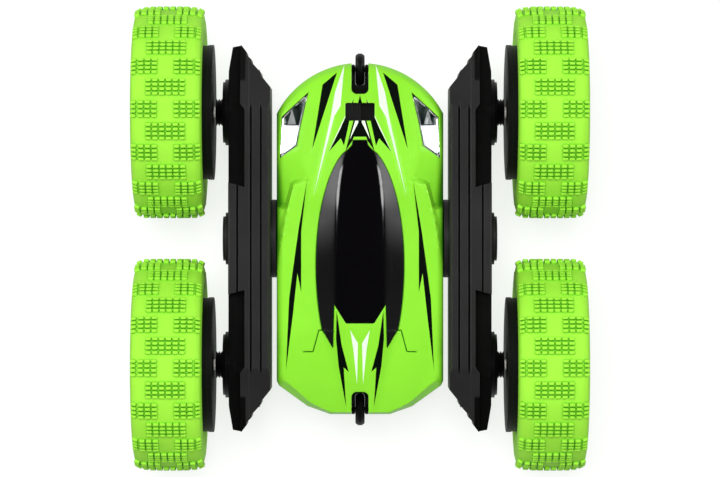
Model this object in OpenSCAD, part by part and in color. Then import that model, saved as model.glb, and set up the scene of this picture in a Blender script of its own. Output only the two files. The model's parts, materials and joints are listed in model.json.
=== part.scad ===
// Double-sided RC stunt car, 1:28 class. Millimetres, +Z up (black canopy side), +Y forward, +X to the right.
// Origin: the middle of the arm pivot axis, which is the centre of the whole car.

/* [Wheels and arms] */
// Distance between front and rear axles; it is also the sum of the arm gears' diameters
wheelbase = 86.4; // [86.4]
// Tyre diameter over the tread studs
tyre_d = 72.6; // [70:0.2:74]
// Tyre width
tyre_w = 24; // [22:0.5:26]
// X of the tyre's middle plane
tyre_x = 65; // [65:0.5:68]
// X of the arm's inner face
arm_in = 30.4; // [30.4]
// X of the arm's outer face
arm_out = 44.7; // [44.7]
// Height of the arm
arm_h = 30; // [30:0.5:32]

/* [Body] */
// Half of the body's width
body_hw = 28.5; // [28.5]
// Y of the nose
nose_y = 60.3; // [60.3]
// Radius of the nose in plan
nose_r = 31.9; // [31.9:0.1:34]
// Height of the hood above the middle plane
hood_z = 17.4; // [17.4:0.1:18]
// Height of the canopy above the middle plane
canopy_z = 21; // [20.5:0.1:22]
// Wall thickness of the shells
wall = 1.6; // [1.6]

/* [Gears] */
// Module of the arm gears
arm_module = 0.8; // [0.8]
// Teeth of the centre gear and of each wheel gear
end_teeth = 24; // [24]
// Teeth of the idler gears
idler_teeth = 30; // [30]
// Module of the motor gears
motor_module = 0.6; // [0.6]
// Teeth of the motor pinion
pinion_teeth = 10; // [10]
// Teeth of the compound gear's large wheel
compound_big = 24; // [24]
// Teeth of the compound gear's small wheel
compound_small = 10; // [10]
// Teeth of the output gear
output_teeth = 26; // [26]

/* [Hidden] */
$fn = 48;

gap = 0.05;                     // gap between fitted plastic parts
ledge = 1.5;                    // width of the ledge under the battery cover
run = 0.06;                     // radial running clearance
pressure = 25;                  // gear teeth: pressure angle, heights in modules and backlash
addendum = 0.8;
dedendum = 1.05;
backlash = 0.12;
axle_y = wheelbase / 2;
idler_y = arm_module * (end_teeth + idler_teeth) / 2;
arm_half = 65.9;                // half length of the arm at its outer face
arm_split = 37.6;               // X where the two halves of the arm case meet
gear_x = 34;                    // X of the arm gears' inner side
gear_w = 3.9;                   // width of the arm gears
post_r = 1.5;                   // idler posts and drive shaft
axle_r = 1.95;                  // wheel axle
journal_r = 5;                  // pivot tube of the arm
flange_r = 13.35;               // thrust flange of the arm
groove_x = [33.6, 37, 41.6];    // grooves along the arm
groove_hw = 0.35;
groove_depth = 0.9;
block_half = 17.4;              // half length of the raised block around the arm's pivot
sunk_x = 39.1;                  // X of the arm's sunk outside, along its middle and at its ends
sunk_end_x = 40.6;
sunk_z = 11.2;                  // height above which the outside is sunk
screw_seat = 42.6;              // X of the arm screws' seats
tyre_r = tyre_d / 2;
tread_rows = 30;                // rows of studs: even rows hold an outer pair, odd rows a middle patch
stud_h = 1;                     // height of the tread studs
disc_x = tyre_x - 15;           // X of the wheel's inner disc
hub_end = tyre_x + 7;
spokes = 5;
canopy_hw = 14.9;
canopy_mid = -9;                // Y of the canopy's widest place
roller_r = 5.5;
roller_w = 3.2;
front_roller_y = 57.9;
rear_roller_y = -58.5;
slot_hw = 2.9;                  // half width of the roller slots
slot_front = 49;                // Y of the front slot's inner end
slot_rear = -52;                // Y of the rear slot's inner end
cover_front = -22.3;            // Y of the battery cover's front edge
cover_rear = -48.6;
cover_hw = 26.7;
tab_front = -16.1;              // Y of the cover tab's front edge
tab_hw = 7.5;
cover_screw_y = -20.2;
cell_y = -37.6;                 // battery cell
cell_z = -6;
cell_r = 7;
switch_y = 42.9;
knob_x = -2.3;                  // middle of the knob at the off end of its slot
motor_y = 17;                   // motor axis, in Y from the pivot axis
motor_front = 14.7;             // X of the motor's front face
motor_len = 25;
plate_z = [-8, 11.6];           // height range of the gearbox plates
compound_to_output = motor_module * (compound_small + output_teeth) / 2;
compound_to_motor = motor_module * (compound_big + pinion_teeth) / 2;
compound_y = (pow(compound_to_output, 2) - pow(compound_to_motor, 2) + pow(motor_y, 2)) / (2 * motor_y);
compound_z = sqrt(pow(compound_to_output, 2) - pow(compound_y, 2));
screw_spots = [[15.8, 52.6], [25, 15.6], [17.2, -55.2]];    // shell screws, right side
arm_screw_spots = [[10.4, 11.2], [-10.4, 11.2], [10.4, -11.2], [-10.4, -11.2], [57, 0], [-57, 0]];
headlight = [[17.5, 49.4], [26.6, 41], [27.1, 27.3], [21.4, 31.8], [20, 39]];

// ---------- helpers ----------

// Turns a shape drawn in the (Y, Z) plane so that it is extruded along +X from x0
module along_x(x0 = 0) {
    translate([x0, 0, 0]) rotate([90, 0, 90]) children();
}

module rod(x0, x1, r, y = 0, z = 0) {
    translate([x0, y, z]) rotate([0, 90, 0]) cylinder(h = x1 - x0, r = r);
}

module block(x0, x1, y0, y1, z0, z1) {
    translate([x0, y0, z0]) cube([x1 - x0, y1 - y0, z1 - z0]);
}

// Both sides of a shape that lies at +X
module both_sides() {
    children();
    mirror([1, 0, 0]) children();
}

// The left side's drive parts are the right side's, turned half a turn about Z
module on_side(side) {
    rotate([0, 0, side < 0 ? 180 : 0]) children();
}

function mirrored(points) =
    concat(points, [for (i = [len(points) - 1:-1:0]) [-points[i][0], points[i][1]]]);

// ---------- gears ----------

function involute(a) = tan(a) * 180 / PI - a;
function tooth_half_angle(z, m, r) =
    90 / z - backlash / (z * m) * 90 / PI
    + involute(pressure) - involute(acos(min(1, z * m / 2 * cos(pressure) / r)));
function polar(r, a) = [r * cos(a), r * sin(a)];
function gear_points(z, m, phase) =
    let (root = z * m / 2 - dedendum * m, tip = z * m / 2 + addendum * m,
         low = max(z * m / 2 * cos(pressure), root),
         steps = 3, radii = [for (i = [0:steps]) low + (tip - low) * i / steps])
    [for (t = [0:z - 1]) let (a = phase + 360 * t / z)
        each concat(
            [polar(root, a - tooth_half_angle(z, m, low))],
            [for (r = radii) polar(r, a - tooth_half_angle(z, m, r))],
            [for (i = [steps:-1:0]) polar(radii[i], a + tooth_half_angle(z, m, radii[i]))],
            [polar(root, a + tooth_half_angle(z, m, low))])];

// Phase of a gear that meshes with another one, seen in direction dir from it
function mesh_phase(dir, phase_a, teeth_a, teeth_b) =
    dir + 180 + (dir - phase_a) * teeth_a / teeth_b + 180 / teeth_b;

module gear(teeth, m, x0, x1, phase = 0) {
    along_x(x0) linear_extrude(x1 - x0) polygon(gear_points(teeth, m, phase));
}

// ---------- body ----------

// Plan of the body: an arc nose, straight sides and a chamfered tail
function plan_points(inset) =
    let (hw = body_hw - inset, r = nose_r - inset, arc = asin(hw / r), steps = 14,
         nose_mid = nose_y - nose_r)
    mirrored(concat(
        [for (i = [0:steps]) let (a = arc * i / steps)
            [r * sin(a) + (i == 0 ? 0.01 : 0), nose_mid + r * cos(a)]],
        [[hw, -49.7 + inset * 0.3], [18.4 - inset * 0.4, -57.5 + inset * 0.9], [10.1, -60.3 + inset]]));
// Half height of the body along its length: (Y, Z)
function profile_points(inset) = [
    [nose_y + 1, -1], [nose_y + 1, 6.8 - inset], [54, 10.6 - inset], [42, 14 - inset], [30, 16.3 - inset],
    [12, hood_z - inset], [-28, hood_z - inset], [-44, 15.6 - inset], [-54, 12.6 - inset],
    [-61.3, 8.2 - inset], [-61.3, -1]];
// Half section of the body: (X, Z)
function section_points(inset) = mirrored([
    [10, hood_z + 0.5 - inset], [19, 16.7 - inset], [25.4 - inset * 0.5, 15.1 - inset],
    [body_hw - inset, 11.4 - inset * 0.6], [body_hw - inset, -1]]);

// Solid upper half of the body, shrunk by inset
module body_half(inset) {
    intersection() {
        linear_extrude(hood_z + 1) polygon(plan_points(inset));
        along_x(-40) linear_extrude(80) polygon(profile_points(inset));
        translate([0, 80, 0]) rotate([90, 0, 0]) linear_extrude(160) polygon(section_points(inset));
    }
}

// Plan of the canopy: an elliptical blade with a neck in front and a notched tail
function ellipse_x(y, a) = canopy_hw * sqrt(max(0, 1 - pow((y - canopy_mid) / a, 2)));
function canopy_plan(inset) = mirrored(concat(
    [[2.6 - inset, 33.3 - inset], [3 - inset, 31 - inset * 0.5]],
    [for (y = [29:-4:-31]) [ellipse_x(y, y > canopy_mid ? 41 : 43) - inset, y]],
    [[9.2 + inset / 3, -37.2 + inset * 3.5],
     [8.8 + inset, -22.4 + inset * 3],
     [4.7 - inset, -28.7 + inset]]));
function canopy_profile(inset) = [
    [34, 0], [34, 16.2 - inset], [24, 18.7 - inset], [10, 20.6 - inset], [-2, canopy_z - inset],
    [-14, canopy_z - inset], [-28, 20.3 - inset], [-38, 17.2 - inset], [-38, 0]];
function canopy_section(inset) = mirrored([
    [7.8 - inset * 0.3, canopy_z + 0.1 - inset], [14.9 - inset, 16.9 - inset], [15.2 - inset, 0]]);
module canopy_solid(inset) {
    intersection() {
        linear_extrude(canopy_z + 1) polygon(canopy_plan(inset));
        along_x(-20) linear_extrude(40) polygon(canopy_profile(inset));
        translate([0, 40, 0]) rotate([90, 0, 0]) linear_extrude(80) polygon(canopy_section(inset));
    }
}
module canopy_shell() {
    difference() {
        canopy_solid(gap);
        canopy_solid(wall);
        block(-30, 30, -60, 60, -1, 12.6);
    }
}

// Everything that both half shells share; the lower shell is this one mirrored
module shell_body() {
    difference() {
        union() {
            difference() {
                body_half(0);
                body_half(wall);
            }
            both_sides() {
                for (p = screw_spots)
                    intersection() {
                        translate([p[0], p[1], 0]) cylinder(h = 18, r = 3.2);
                        body_half(0.2);
                    }
                intersection() {
                    union() {
                        block(slot_hw, slot_hw + 1.4, slot_front, nose_y, 0, 16);
                        block(slot_hw, slot_hw + 1.4, -61, slot_rear, 0, 16);
                    }
                    body_half(0.2);
                }
                // seat of the pivot bush
                intersection() {
                    rod(25, body_hw - 0.2, 9.3);
                    block(24, 29, -10, 10, 0, 10);
                }
            }
            intersection() {
                union() {
                    block(-slot_hw - 1.4, slot_hw + 1.4, slot_front - 1.4, slot_front, 0, 16);
                    block(-slot_hw - 1.4, slot_hw + 1.4, slot_rear, slot_rear + 1.4, 0, 16);
                }
                body_half(0.2);
            }
        }
        block(-slot_hw, slot_hw, slot_front, nose_y + 2, -1, 20);
        block(-slot_hw, slot_hw, -63, slot_rear, -1, 20);
        rod(-4.6, 4.6, 0.8 + 0.02, front_roller_y);
        rod(-4.6, 4.6, 0.8 + 0.02, rear_roller_y);
        both_sides() {
            rod(24.9, body_hw + 1, 7.55);
            rod(24.9, 26.8, 9.05);
            translate([0, 0, 8]) linear_extrude(12) polygon(headlight);
            for (p = screw_spots) translate([p[0], p[1], -1]) cylinder(h = 8.6, r = 1.1);
        }
    }
}

module upper_shell() {
    color("lawngreen")
    difference() {
        shell_body();
        translate([0, 0, 8]) linear_extrude(14) polygon(canopy_plan(0));
        block(-4.9, 4.9, switch_y - 2.95, switch_y + 2.95, 8, 20);
    }
}

// Rounded outline of the battery cover with its tab
module cover_outline(inset) {
    translate([-cover_hw + inset, cover_rear + inset])
        square([2 * (cover_hw - inset), cover_front - cover_rear - 2 * inset]);
    translate([-tab_hw + inset, cover_front - 2])
        square([2 * (tab_hw - inset), tab_front - cover_front + 2 - inset]);
}

// Ledge that the front and rear edges of the battery cover rest on
module cover_ledge() {
    difference() {
        intersection() {
            difference() {
                union() {
                    body_half(wall + gap);
                    difference() {
                        body_half(wall - 0.3);
                        linear_extrude(30) cover_outline(-gap);
                    }
                }
                body_half(wall + 1.2);
            }
            linear_extrude(30) cover_outline(-ledge);
            block(-24.5, 24.5, -60, 0, 0, 30);
        }
        linear_extrude(30) cover_outline(ledge);
        linear_extrude(30) polygon(canopy_plan(-0.3));
    }
}

module lower_shell() {
    color("lawngreen")
    mirror([0, 0, 1])
    difference() {
        union() {
            difference() {
                shell_body();
                translate([0, 0, 8]) linear_extrude(14) polygon(canopy_plan(0));
                translate([0, 0, 8]) linear_extrude(14) cover_outline(0);
                both_sides() for (p = screw_spots) {
                    translate([p[0], p[1], 5]) cylinder(h = 20, r = 2.2);
                    translate([p[0], p[1], -1]) cylinder(h = 20, r = 1.1);
                }
            }
            cover_ledge();
            // bridge across the opening: boss of the cover screw and floor of the finger recess
            block(-19, 19, -21.6, tab_front, 8.2, 11);
            both_sides() block(15.1, 19, -21.6, tab_front, 8.2, 17);
            block(-6, 6, -22, tab_front, 8.2, 15.2);
            block(-6, 6, tab_front - 0.1, -4, 9.8, 11);
        }
        translate([0, cover_screw_y, 9]) cylinder(h = 20, r = 1.05);
    }
}

module upper_canopy() {
    color("black") canopy_shell();
}

module lower_canopy() {
    color("silver")
    mirror([0, 0, 1])
    difference() {
        union() {
            canopy_shell();
            block(-6, 6, -9.6, -3.6, 17, 19.6);
            tongue();
        }
        // the battery cover carries the canopy's tail and the tab
        block(-16, 16, -60, cover_front + gap, 0, 30);
        block(-tab_hw - gap, tab_hw + gap, -60, tab_front + gap, 0, 30);
        // finger recess in front of the tab, with a tongue on its floor
        difference() {
            block(-5, 5, -17, -4.8, 18.2, 30);
            tongue();
        }
    }
}
module tongue() {
    block(-3.1, 3.1, -11.3, -7.7, 17, 19.6);
}

module battery_cover() {
    color("lawngreen")
    mirror([0, 0, 1])
    difference() {
        intersection() {
            union() {
                body_half(0);
                canopy_solid(0);
            }
            translate([0, 0, 8]) linear_extrude(14) cover_outline(0.15);
        }
        difference() {
            union() {
                body_half(wall);
                intersection() {
                    canopy_solid(wall);
                    block(-20, 20, -36, cover_front - 1, 0, 30);
                }
            }
            // solid pad around the screw
            block(-6, 6, -24, -14, 15.3, 22);
        }
        translate([0, cover_screw_y, 10]) cylinder(h = 20, r = 1.35);
        translate([0, cover_screw_y, 18.9]) cylinder(h = 5, r = 2.5);
    }
}

// Pan head screw along +Z with its head's underside at z = 0
module screw(head_r, head_h, shank_r, shank_len) {
    difference() {
        union() {
            cylinder(h = head_h, r = head_r);
            translate([0, 0, -shank_len]) cylinder(h = shank_len + 0.1, r = shank_r);
        }
        for (a = [0, 90]) rotate([0, 0, a])
            translate([-head_r * 0.6, -head_r * 0.14, head_h * 0.4])
                cube([head_r * 1.2, head_r * 0.28, head_h]);
    }
}

module battery_cover_screw() {
    color("silver") translate([0, cover_screw_y, -18.95]) mirror([0, 0, 1]) screw(2.3, 1.6, 1, 9.4);
}

module shell_screws() {
    color("dimgray")
    both_sides() for (p = screw_spots)
        translate([p[0], p[1], -5.05]) mirror([0, 0, 1]) screw(2, 1.4, 1.05, 12);
}

// ---------- lights, board, switch ----------

module headlight_lenses() {
    color("white")
    for (flip = [0, 1]) mirror([0, 0, flip]) both_sides()
        intersection() {
            difference() {
                body_half(0.1);
                body_half(1.3);
            }
            translate([0, 0, 8]) linear_extrude(12)
                polygon([for (p = headlight) (p - [22.6, 38]) * 0.985 + [22.6, 38]]);
        }
}

module headlight_units() {
    color("gainsboro")
    both_sides() {
        difference() {
            block(18.6, 24.6, 33.5, 41.5, -8.2, 8.2);
            for (flip = [0, 1]) mirror([0, 0, flip])
                translate([21.6, 37.5, 2]) cylinder(h = 7, r1 = 1.6, r2 = 2.8);
        }
        for (flip = [0, 1]) mirror([0, 0, flip])
            translate([21.6, 37.5, 2.05]) cylinder(h = 3.4, r = 1.5);
    }
}

module circuit_board() {
    color("darkgreen") {
        block(-16, 16, 29, 47, 3.2, 4.6);
        block(-3.2, 3.2, 33, 38, 4.6, 6);
        block(6, 11, 31, 34, 4.6, 7.6);
        for (x = [-12, -8, 12]) translate([x, 44, 4.6]) cylinder(h = 4, r = 1.6);
    }
}

module power_switch() {
    color("silver")
    difference() {
        block(-4.6, 4.6, switch_y - 2, switch_y + 2, 4.65, 9.6);
        block(-3.6, 3.6, switch_y - 0.8, switch_y + 0.8, 8.4, 10);
    }
}

module switch_knob() {
    color("black")
    difference() {
        union() {
            block(knob_x - 2.5, knob_x + 2.5, switch_y - 2.85, switch_y + 2.85, 10.6, 14.8);
            block(knob_x - 5.2, knob_x + 7.4, switch_y - 3.5, switch_y + 3.5, 10.2, 10.8);
            block(knob_x - 0.7, knob_x + 0.7, switch_y - 0.7, switch_y + 0.7, 8.7, 10.4);
        }
        for (x = [knob_x - 1.8:0.9:knob_x + 1.81])
            block(x - 0.2, x + 0.2, switch_y - 4, switch_y + 4, 14.2, 15);
    }
}

// ---------- battery ----------

module battery_tray() {
    color("dimgray")
    difference() {
        block(-26, 26, -47.4, -27.7, -11.4, 2.8);
        block(-25, 25, -46.4, -28.7, -12, 1.8);
        block(-23, -20, -28.8, -27, -3, 1);
    }
}

module battery_pack() {
    color("royalblue") {
        difference() {
            rod(-23.5, 20.5, cell_r, cell_y, cell_z);
            rod(-24, -23, 5, cell_y, cell_z);
        }
        rod(-23, -22.5, 2.6, cell_y, cell_z);
    }
    color("black") block(21, 24.6, cell_y - 4, cell_y + 4, -10.8, -4);
    color("red")
    for (y = [-2, 2]) rod(20.6, 20.9, 0.7, cell_y + y, -7.5);
}

// ---------- rollers and bushes ----------

module roller(y) {
    color("black")
    translate([0, y, 0]) rotate([0, 90, 0]) rotate_extrude()
        polygon([
            [0.8 + run, -roller_w / 2], [3, -roller_w / 2], [3.4, -roller_w / 2 + 0.5],
            [4.2, -roller_w / 2], [4.9, -roller_w / 2 + 0.1], [roller_r, -0.6],
            [roller_r, 0.6], [4.9, roller_w / 2 - 0.1], [4.2, roller_w / 2],
            [3.4, roller_w / 2 - 0.5], [3, roller_w / 2], [0.8 + run, roller_w / 2]]);
}

// Fork that holds a roller in its slot: a web at the inner end and two cheeks; it is drawn at the nose
module roller_bracket(inner_y, axle_y) {
    color("black")
    difference() {
        union() {
            block(-slot_hw + gap, slot_hw - gap, inner_y + gap, axle_y - roller_r - 0.3, -9.6, 9.6);
            both_sides() {
                block(roller_w / 2 + 0.25, slot_hw - gap, inner_y + gap, axle_y, -7.5, 7.5);
                rod(roller_w / 2 + 0.25, slot_hw - gap, 1.7, axle_y);
                rod(roller_w / 2 + 0.15, roller_w / 2 + 0.3, 1.3, axle_y);
            }
        }
        rod(-4, 4, 0.8 + 0.02, axle_y);
        // the cheeks are rounded off towards the nose
        for (flip = [0, 1]) mirror([0, 0, flip]) block(-4, 4, axle_y - 2, axle_y + 3, 2.4, 9);
    }
}
module front_roller_bracket() {
    roller_bracket(slot_front, front_roller_y);
}
module rear_roller_bracket() {
    rotate([0, 0, 180]) roller_bracket(-slot_rear, -rear_roller_y);
}

module roller_pins() {
    color("silver") for (y = [front_roller_y, rear_roller_y]) rod(-4.5, 4.5, 0.8, y);
}

module pivot_bushes() {
    color("ivory")
    both_sides() difference() {
        union() {
            rod(25, body_hw - 0.1, 7.5);
            rod(25, 26.7, 9);
        }
        rod(24, 30, journal_r + run);
    }
}

// ---------- motors and gearboxes ----------

module motors() {
    color("silver")
    for (side = [1, -1]) on_side(side) difference() {
        union() {
            intersection() {
                rod(motor_front - motor_len, motor_front, 10, -motor_y);
                block(-30, 30, -motor_y - 11, -motor_y + 11, -7.5, 7.5);
            }
            rod(motor_front - 0.1, motor_front + 1.4, 3, -motor_y);
            rod(motor_front - motor_len - 1.4, motor_front - motor_len + 0.1, 4, -motor_y);
        }
        rod(-14, 20, 1 + run, -motor_y);
    }
}

gearbox_posts = [[9.3, -6.2], [9.8, 9.3], [-10.8, -6.2]];
module gearbox_plate(x0, x1, y0) {
    block(x0, x1, y0, 12, plate_z[0], plate_z[1]);
}
module gearbox_bases() {
    color("white")
    for (side = [1, -1]) on_side(side) difference() {
        union() {
            gearbox_plate(motor_front + 0.05, 16.2, -27);
            for (p = gearbox_posts) {
                rod(16.1, 22.35, 1.7, p[0], p[1]);
                rod(22.3, 24.2, 0.9, p[0], p[1]);
            }
        }
        rod(14, 17, 3.05, -motor_y);
        rod(14, 17, post_r + run);
        rod(14, 17, 0.9 + run, -compound_y, compound_z);
    }
}
module gearbox_covers() {
    color("white")
    for (side = [1, -1]) on_side(side) difference() {
        gearbox_plate(22.4, 23.6, -12.6);
        rod(22, 24, post_r + run);
        rod(22, 24, 0.9 + run, -compound_y, compound_z);
        for (p = gearbox_posts) rod(22, 24, 0.95, p[0], p[1]);
    }
}
module motor_shaft(side) {
    color("lightgray") on_side(side) rod(-12, 19.4, 1, -motor_y);
}
dir_compound = atan2(compound_z, -compound_y);
dir_motor = atan2(-compound_z, -motor_y + compound_y);
small_phase = mesh_phase(dir_compound, 0, output_teeth, compound_small);
module motor_pinion(side) {
    color("gold") on_side(side) difference() {
        translate([0, -motor_y, 0])
            gear(pinion_teeth, motor_module, 16.6, 19,
                 mesh_phase(dir_motor, 0, compound_big, pinion_teeth));
        rod(16, 20, 1.02, -motor_y);
    }
}
module compound_pin(side) {
    color("lightgray") on_side(side) rod(14.9, 23.5, 0.9, -compound_y, compound_z);
}
module compound_gear(side) {
    color("ivory") on_side(side) translate([0, -compound_y, compound_z]) difference() {
        union() {
            gear(compound_big, motor_module, 16.5, 19.1, 0);
            gear(compound_small, motor_module, 19, 22.2, small_phase);
        }
        rod(16, 23, 0.92);
    }
}
module output_gear(side) {
    color("ivory") on_side(side) difference() {
        gear(output_teeth, motor_module, 19.5, 22.2, 0);
        rod(19, 23, post_r + 0.02);
    }
}
module drive_shaft(side) {
    color("ivory") on_side(side) {
        rod(14.9, 42.8, post_r);
        gear(end_teeth, arm_module, gear_x, gear_x + gear_w, 0);
    }
}

// ---------- arms ----------

// Side outline of the arm's main part: (Y, Z)
function arm_side(h, half) = [
    [-half, 7.4], [-axle_y - 1, h], [axle_y + 1, h], [half, 7.4],
    [half, -7.4], [axle_y + 1, -h], [-axle_y - 1, -h], [-half, -7.4]];
// Plan of the arm: the ends slope inward, with a small step at each groove
arm_steps = [[33.6, 55.4], [36.9, 60], [38.5, 62.5]];
arm_plan = concat(
    [[arm_in, 51.4]],
    [for (p = arm_steps) each [p, [p[0], p[1] + 0.9]]],
    [[40.4, arm_half], [43.4, arm_half - 0.6], [arm_out, 57]]);
function arm_section(h) = concat(
    [[arm_in, h - 0.8], [arm_in + 0.8, h]],
    [for (g = groove_x) each [[g - groove_hw, h], [g, h - groove_depth], [g + groove_hw, h]]],
    [[arm_out - 0.5, h], [arm_out, h - 0.5]]);
// An outline and its reflection in the first axis
function there_and_back(points) =
    concat(points, [for (i = [len(points) - 1:-1:0]) [points[i][0], -points[i][1]]]);
module arm_hull() {
    intersection() {
        along_x(arm_in) linear_extrude(arm_out - arm_in) polygon(arm_side(arm_h / 2, arm_half));
        translate([0, 0, -20]) linear_extrude(40) polygon(there_and_back(arm_plan));
        translate([0, 80, 0]) rotate([90, 0, 0])
            linear_extrude(160) polygon(there_and_back(arm_section(arm_h / 2)));
    }
}
// The outside of the arm is sunk between the block around the pivot and each end
module arm_outside() {
    difference() {
        arm_hull();
        for (up = [0, 1], front = [0, 1]) mirror([0, 0, up]) mirror([0, front, 0]) {
            translate([0, 0, sunk_z]) linear_extrude(10)
                polygon([[sunk_x, block_half], [50, block_half + 3], [50, axle_y + 4],
                         [sunk_end_x, axle_y + 4], [sunk_end_x, axle_y + 2.5], [sunk_x, axle_y + 0.5]]);
            along_x(sunk_end_x) linear_extrude(10)
                polygon([[axle_y + 3.9, 20], [axle_y + 3.9, sunk_z],
                         [arm_half + 4, 3.4], [arm_half + 4, 20]]);
        }
    }
}
module arm_cavity() {
    // round pockets for the gears, and a lower space behind the sunk outside
    for (y = [-idler_y, idler_y]) rod(32, sunk_x - 0.95, 13.3, y);
    for (y = [-axle_y, 0, axle_y]) rod(gear_x - 0.2, sunk_x - 0.95, 10.8, y);
    block(32, arm_out - 1.6, -49, 49, -9.2, 9.2);
}
module arm_bosses(x0, x1) {
    intersection() {
        arm_hull();
        for (p = arm_screw_spots) rod(x0, x1, 1.9, p[0], p[1]);
    }
}
module arm_inner_case() {
    color([0.13, 0.13, 0.14]) difference() {
        union() {
            difference() {
                intersection() {
                    arm_outside();
                    block(20, arm_split, -80, 80, -20, 20);
                }
                arm_cavity();
            }
            // pivot tube with its snap lip, and the thrust flange
            rod(24, arm_in + 0.1, journal_r);
            rod(24, 24.9, journal_r + 0.6);
            rod(body_hw + 0.1, arm_in + 0.1, flange_r);
            // shoulders behind the gears, and the idler posts
            for (y = [-axle_y, -idler_y, 0, idler_y, axle_y]) rod(31.9, gear_x - 0.2, 3.4, y);
            for (y = [-idler_y, idler_y]) rod(31.9, gear_x + gear_w + 1.6, post_r, y);
            arm_bosses(31.9, arm_split);
        }
        rod(23, 34, post_r + run);
        for (y = [-axle_y, axle_y]) rod(arm_in + 0.6, 34, axle_r + run, y);
        for (p = arm_screw_spots) rod(33.8, 38, 0.85, p[0], p[1]);
    }
}
module arm_outer_case() {
    color([0.1, 0.1, 0.11]) difference() {
        union() {
            difference() {
                intersection() {
                    arm_outside();
                    block(arm_split + gap, 50, -80, 80, -20, 20);
                }
                arm_cavity();
            }
            // wheel pads and their ribbed collars
            for (y = [-axle_y, axle_y]) {
                rod(arm_out - 2, 46, 11.3, y);
                rod(45.9, 46.8, 10.4, y);
                rod(gear_x + gear_w + 0.2, 49.2, 4.1, y);
                for (x = [47.1, 48, 48.9]) rod(x, x + 0.4, 4.5, y);
            }
            // cap over the pivot
            rod(arm_out - 2, 45.9, 8.9);
            rod(45.8, 46.8, 7.6);
            // sockets for the posts and the drive shaft
            for (y = [-idler_y, 0, idler_y]) rod(gear_x + gear_w + 0.2, arm_out - 1.5, 3.4, y);
            arm_bosses(arm_split + gap, arm_out - 1.5);
        }
        for (y = [-idler_y, idler_y]) rod(37, gear_x + gear_w + 2, post_r + run, y);
        rod(37, 43, post_r + run);
        for (y = [-axle_y, axle_y]) rod(37, 50, axle_r + run, y);
        for (p = arm_screw_spots) {
            rod(36, 50, 0.95, p[0], p[1]);
            rod(screw_seat, 50, 1.8, p[0], p[1]);
        }
    }
}
module arm_screws() {
    color("dimgray") for (p = arm_screw_spots)
        translate([screw_seat + gap, p[0], p[1]]) rotate([0, 90, 0]) screw(1.7, 1.1, 0.8, 8.4);
}
module idler_gear(side, front) {
    color("ivory") on_side(side) translate([0, front * side * idler_y, 0]) difference() {
        union() {
            gear(idler_teeth, arm_module, gear_x, gear_x + gear_w, 180 / idler_teeth);
            rod(gear_x - 0.15, gear_x + gear_w + 0.15, 3);
        }
        rod(30, 50, post_r + run);
    }
}
module axle_gear(side, front) {
    color("ivory") on_side(side) translate([0, front * side * axle_y, 0]) difference() {
        union() {
            gear(end_teeth, arm_module, gear_x, gear_x + gear_w, 0);
            rod(arm_in + 0.7, hub_end - 0.1, axle_r);
        }
        rod(hub_end - 12, hub_end + 1, 1);
    }
}

// ---------- wheels ----------

module on_wheel(side, front) {
    on_side(side) translate([0, front * side * axle_y, 0]) children();
}
module tyre(side, front) {
    color("lawngreen") on_wheel(side, front) translate([tyre_x, 0, 0]) {
        rotate([0, 90, 0]) rotate_extrude($fn = 96) tyre_profile();
        for (k = [0:tread_rows - 1]) rotate([360 * k / tread_rows, 0, 0])
            if (k % 2 == 0)
                for (s = [-1, 1]) translate([s * 7.1 - 4.3, -2.95, tyre_r - 2.6]) cube([8.6, 5.9, 2.6]);
            else
                translate([-6.75, -2.95, tyre_r - 2.6]) cube([13.5, 5.9, 2.6]);
    }
}
// Half section of the tyre, with radius along X and width along Y
module tyre_profile() {
    crown = tyre_r - stud_h;
    hw = tyre_w / 2;
    right = [[23, hw - 1.6], [24.6, hw - 1.6], [26, hw - 0.5], [30, hw], [33, hw - 0.4],
             [crown - 0.5, hw - 1.4], [crown, hw - 2.8]];
    inside = [[crown - 2, hw - 4], [31, hw - 2], [27, hw - 2.4], [25, hw - 3], [23, hw - 3.4]];
    polygon(concat(right, [for (i = [len(right) - 1:-1:0]) [right[i][0], -right[i][1]]],
        [for (i = [len(inside) - 1:-1:0]) [inside[i][0], -inside[i][1]]], inside));
}
module rim(side, front) {
    color([0.08, 0.08, 0.09]) on_wheel(side, front) difference() {
        union() {
            translate([tyre_x, 0, 0]) rotate([0, 90, 0]) rotate_extrude($fn = 72) rim_profile();
            rod(disc_x, hub_end, 4.6);
            rod(hub_end - 2, hub_end + 1, 6.4);
            // conical face cut into pairs of spokes
            intersection() {
                translate([tyre_x, 0, 0]) rotate([0, 90, 0]) rotate_extrude($fn = 72)
                    polygon([[4, 4.2], [21, 6.8], [21, 9.4], [4, 7]]);
                for (i = [0:spokes - 1], side = [-1, 1]) rotate([360 * i / spokes + side * 15, 0, 0])
                    along_x(tyre_x) linear_extrude(12)
                        polygon([[-2.2, 2], [2.2, 2], [1.5, 22], [-1.5, 22]]);
            }
        }
        rod(disc_x - 1, hub_end, axle_r + 0.02);
        rod(hub_end - 1, hub_end + 0.05, 1.1);
        rod(hub_end + 0.04, hub_end + 2, 2.7);
    }
}
// Half section of the rim: inner disc, barrel with a tyre seat, outer lip
module rim_profile() {
    polygon([
        [4, -15], [23.1, -15], [23.1, -13.3], [22.9, -13.3],
        [22.9, tyre_w / 2 - 1.5], [24.2, tyre_w / 2 - 1.5], [24.4, tyre_w / 2 - 1],
        [23.6, tyre_w / 2 - 0.2], [22.4, tyre_w / 2 - 0.2], [20.6, tyre_w / 2 - 3],
        [20.6, -13.3], [4, -13.3]]);
}
module wheel_screw(side, front) {
    color("silver") on_wheel(side, front)
        translate([hub_end + 0.06, 0, 0]) rotate([0, 90, 0]) screw(2.5, 1.6, 0.95, 10);
}

// ---------- nodes ----------

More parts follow.
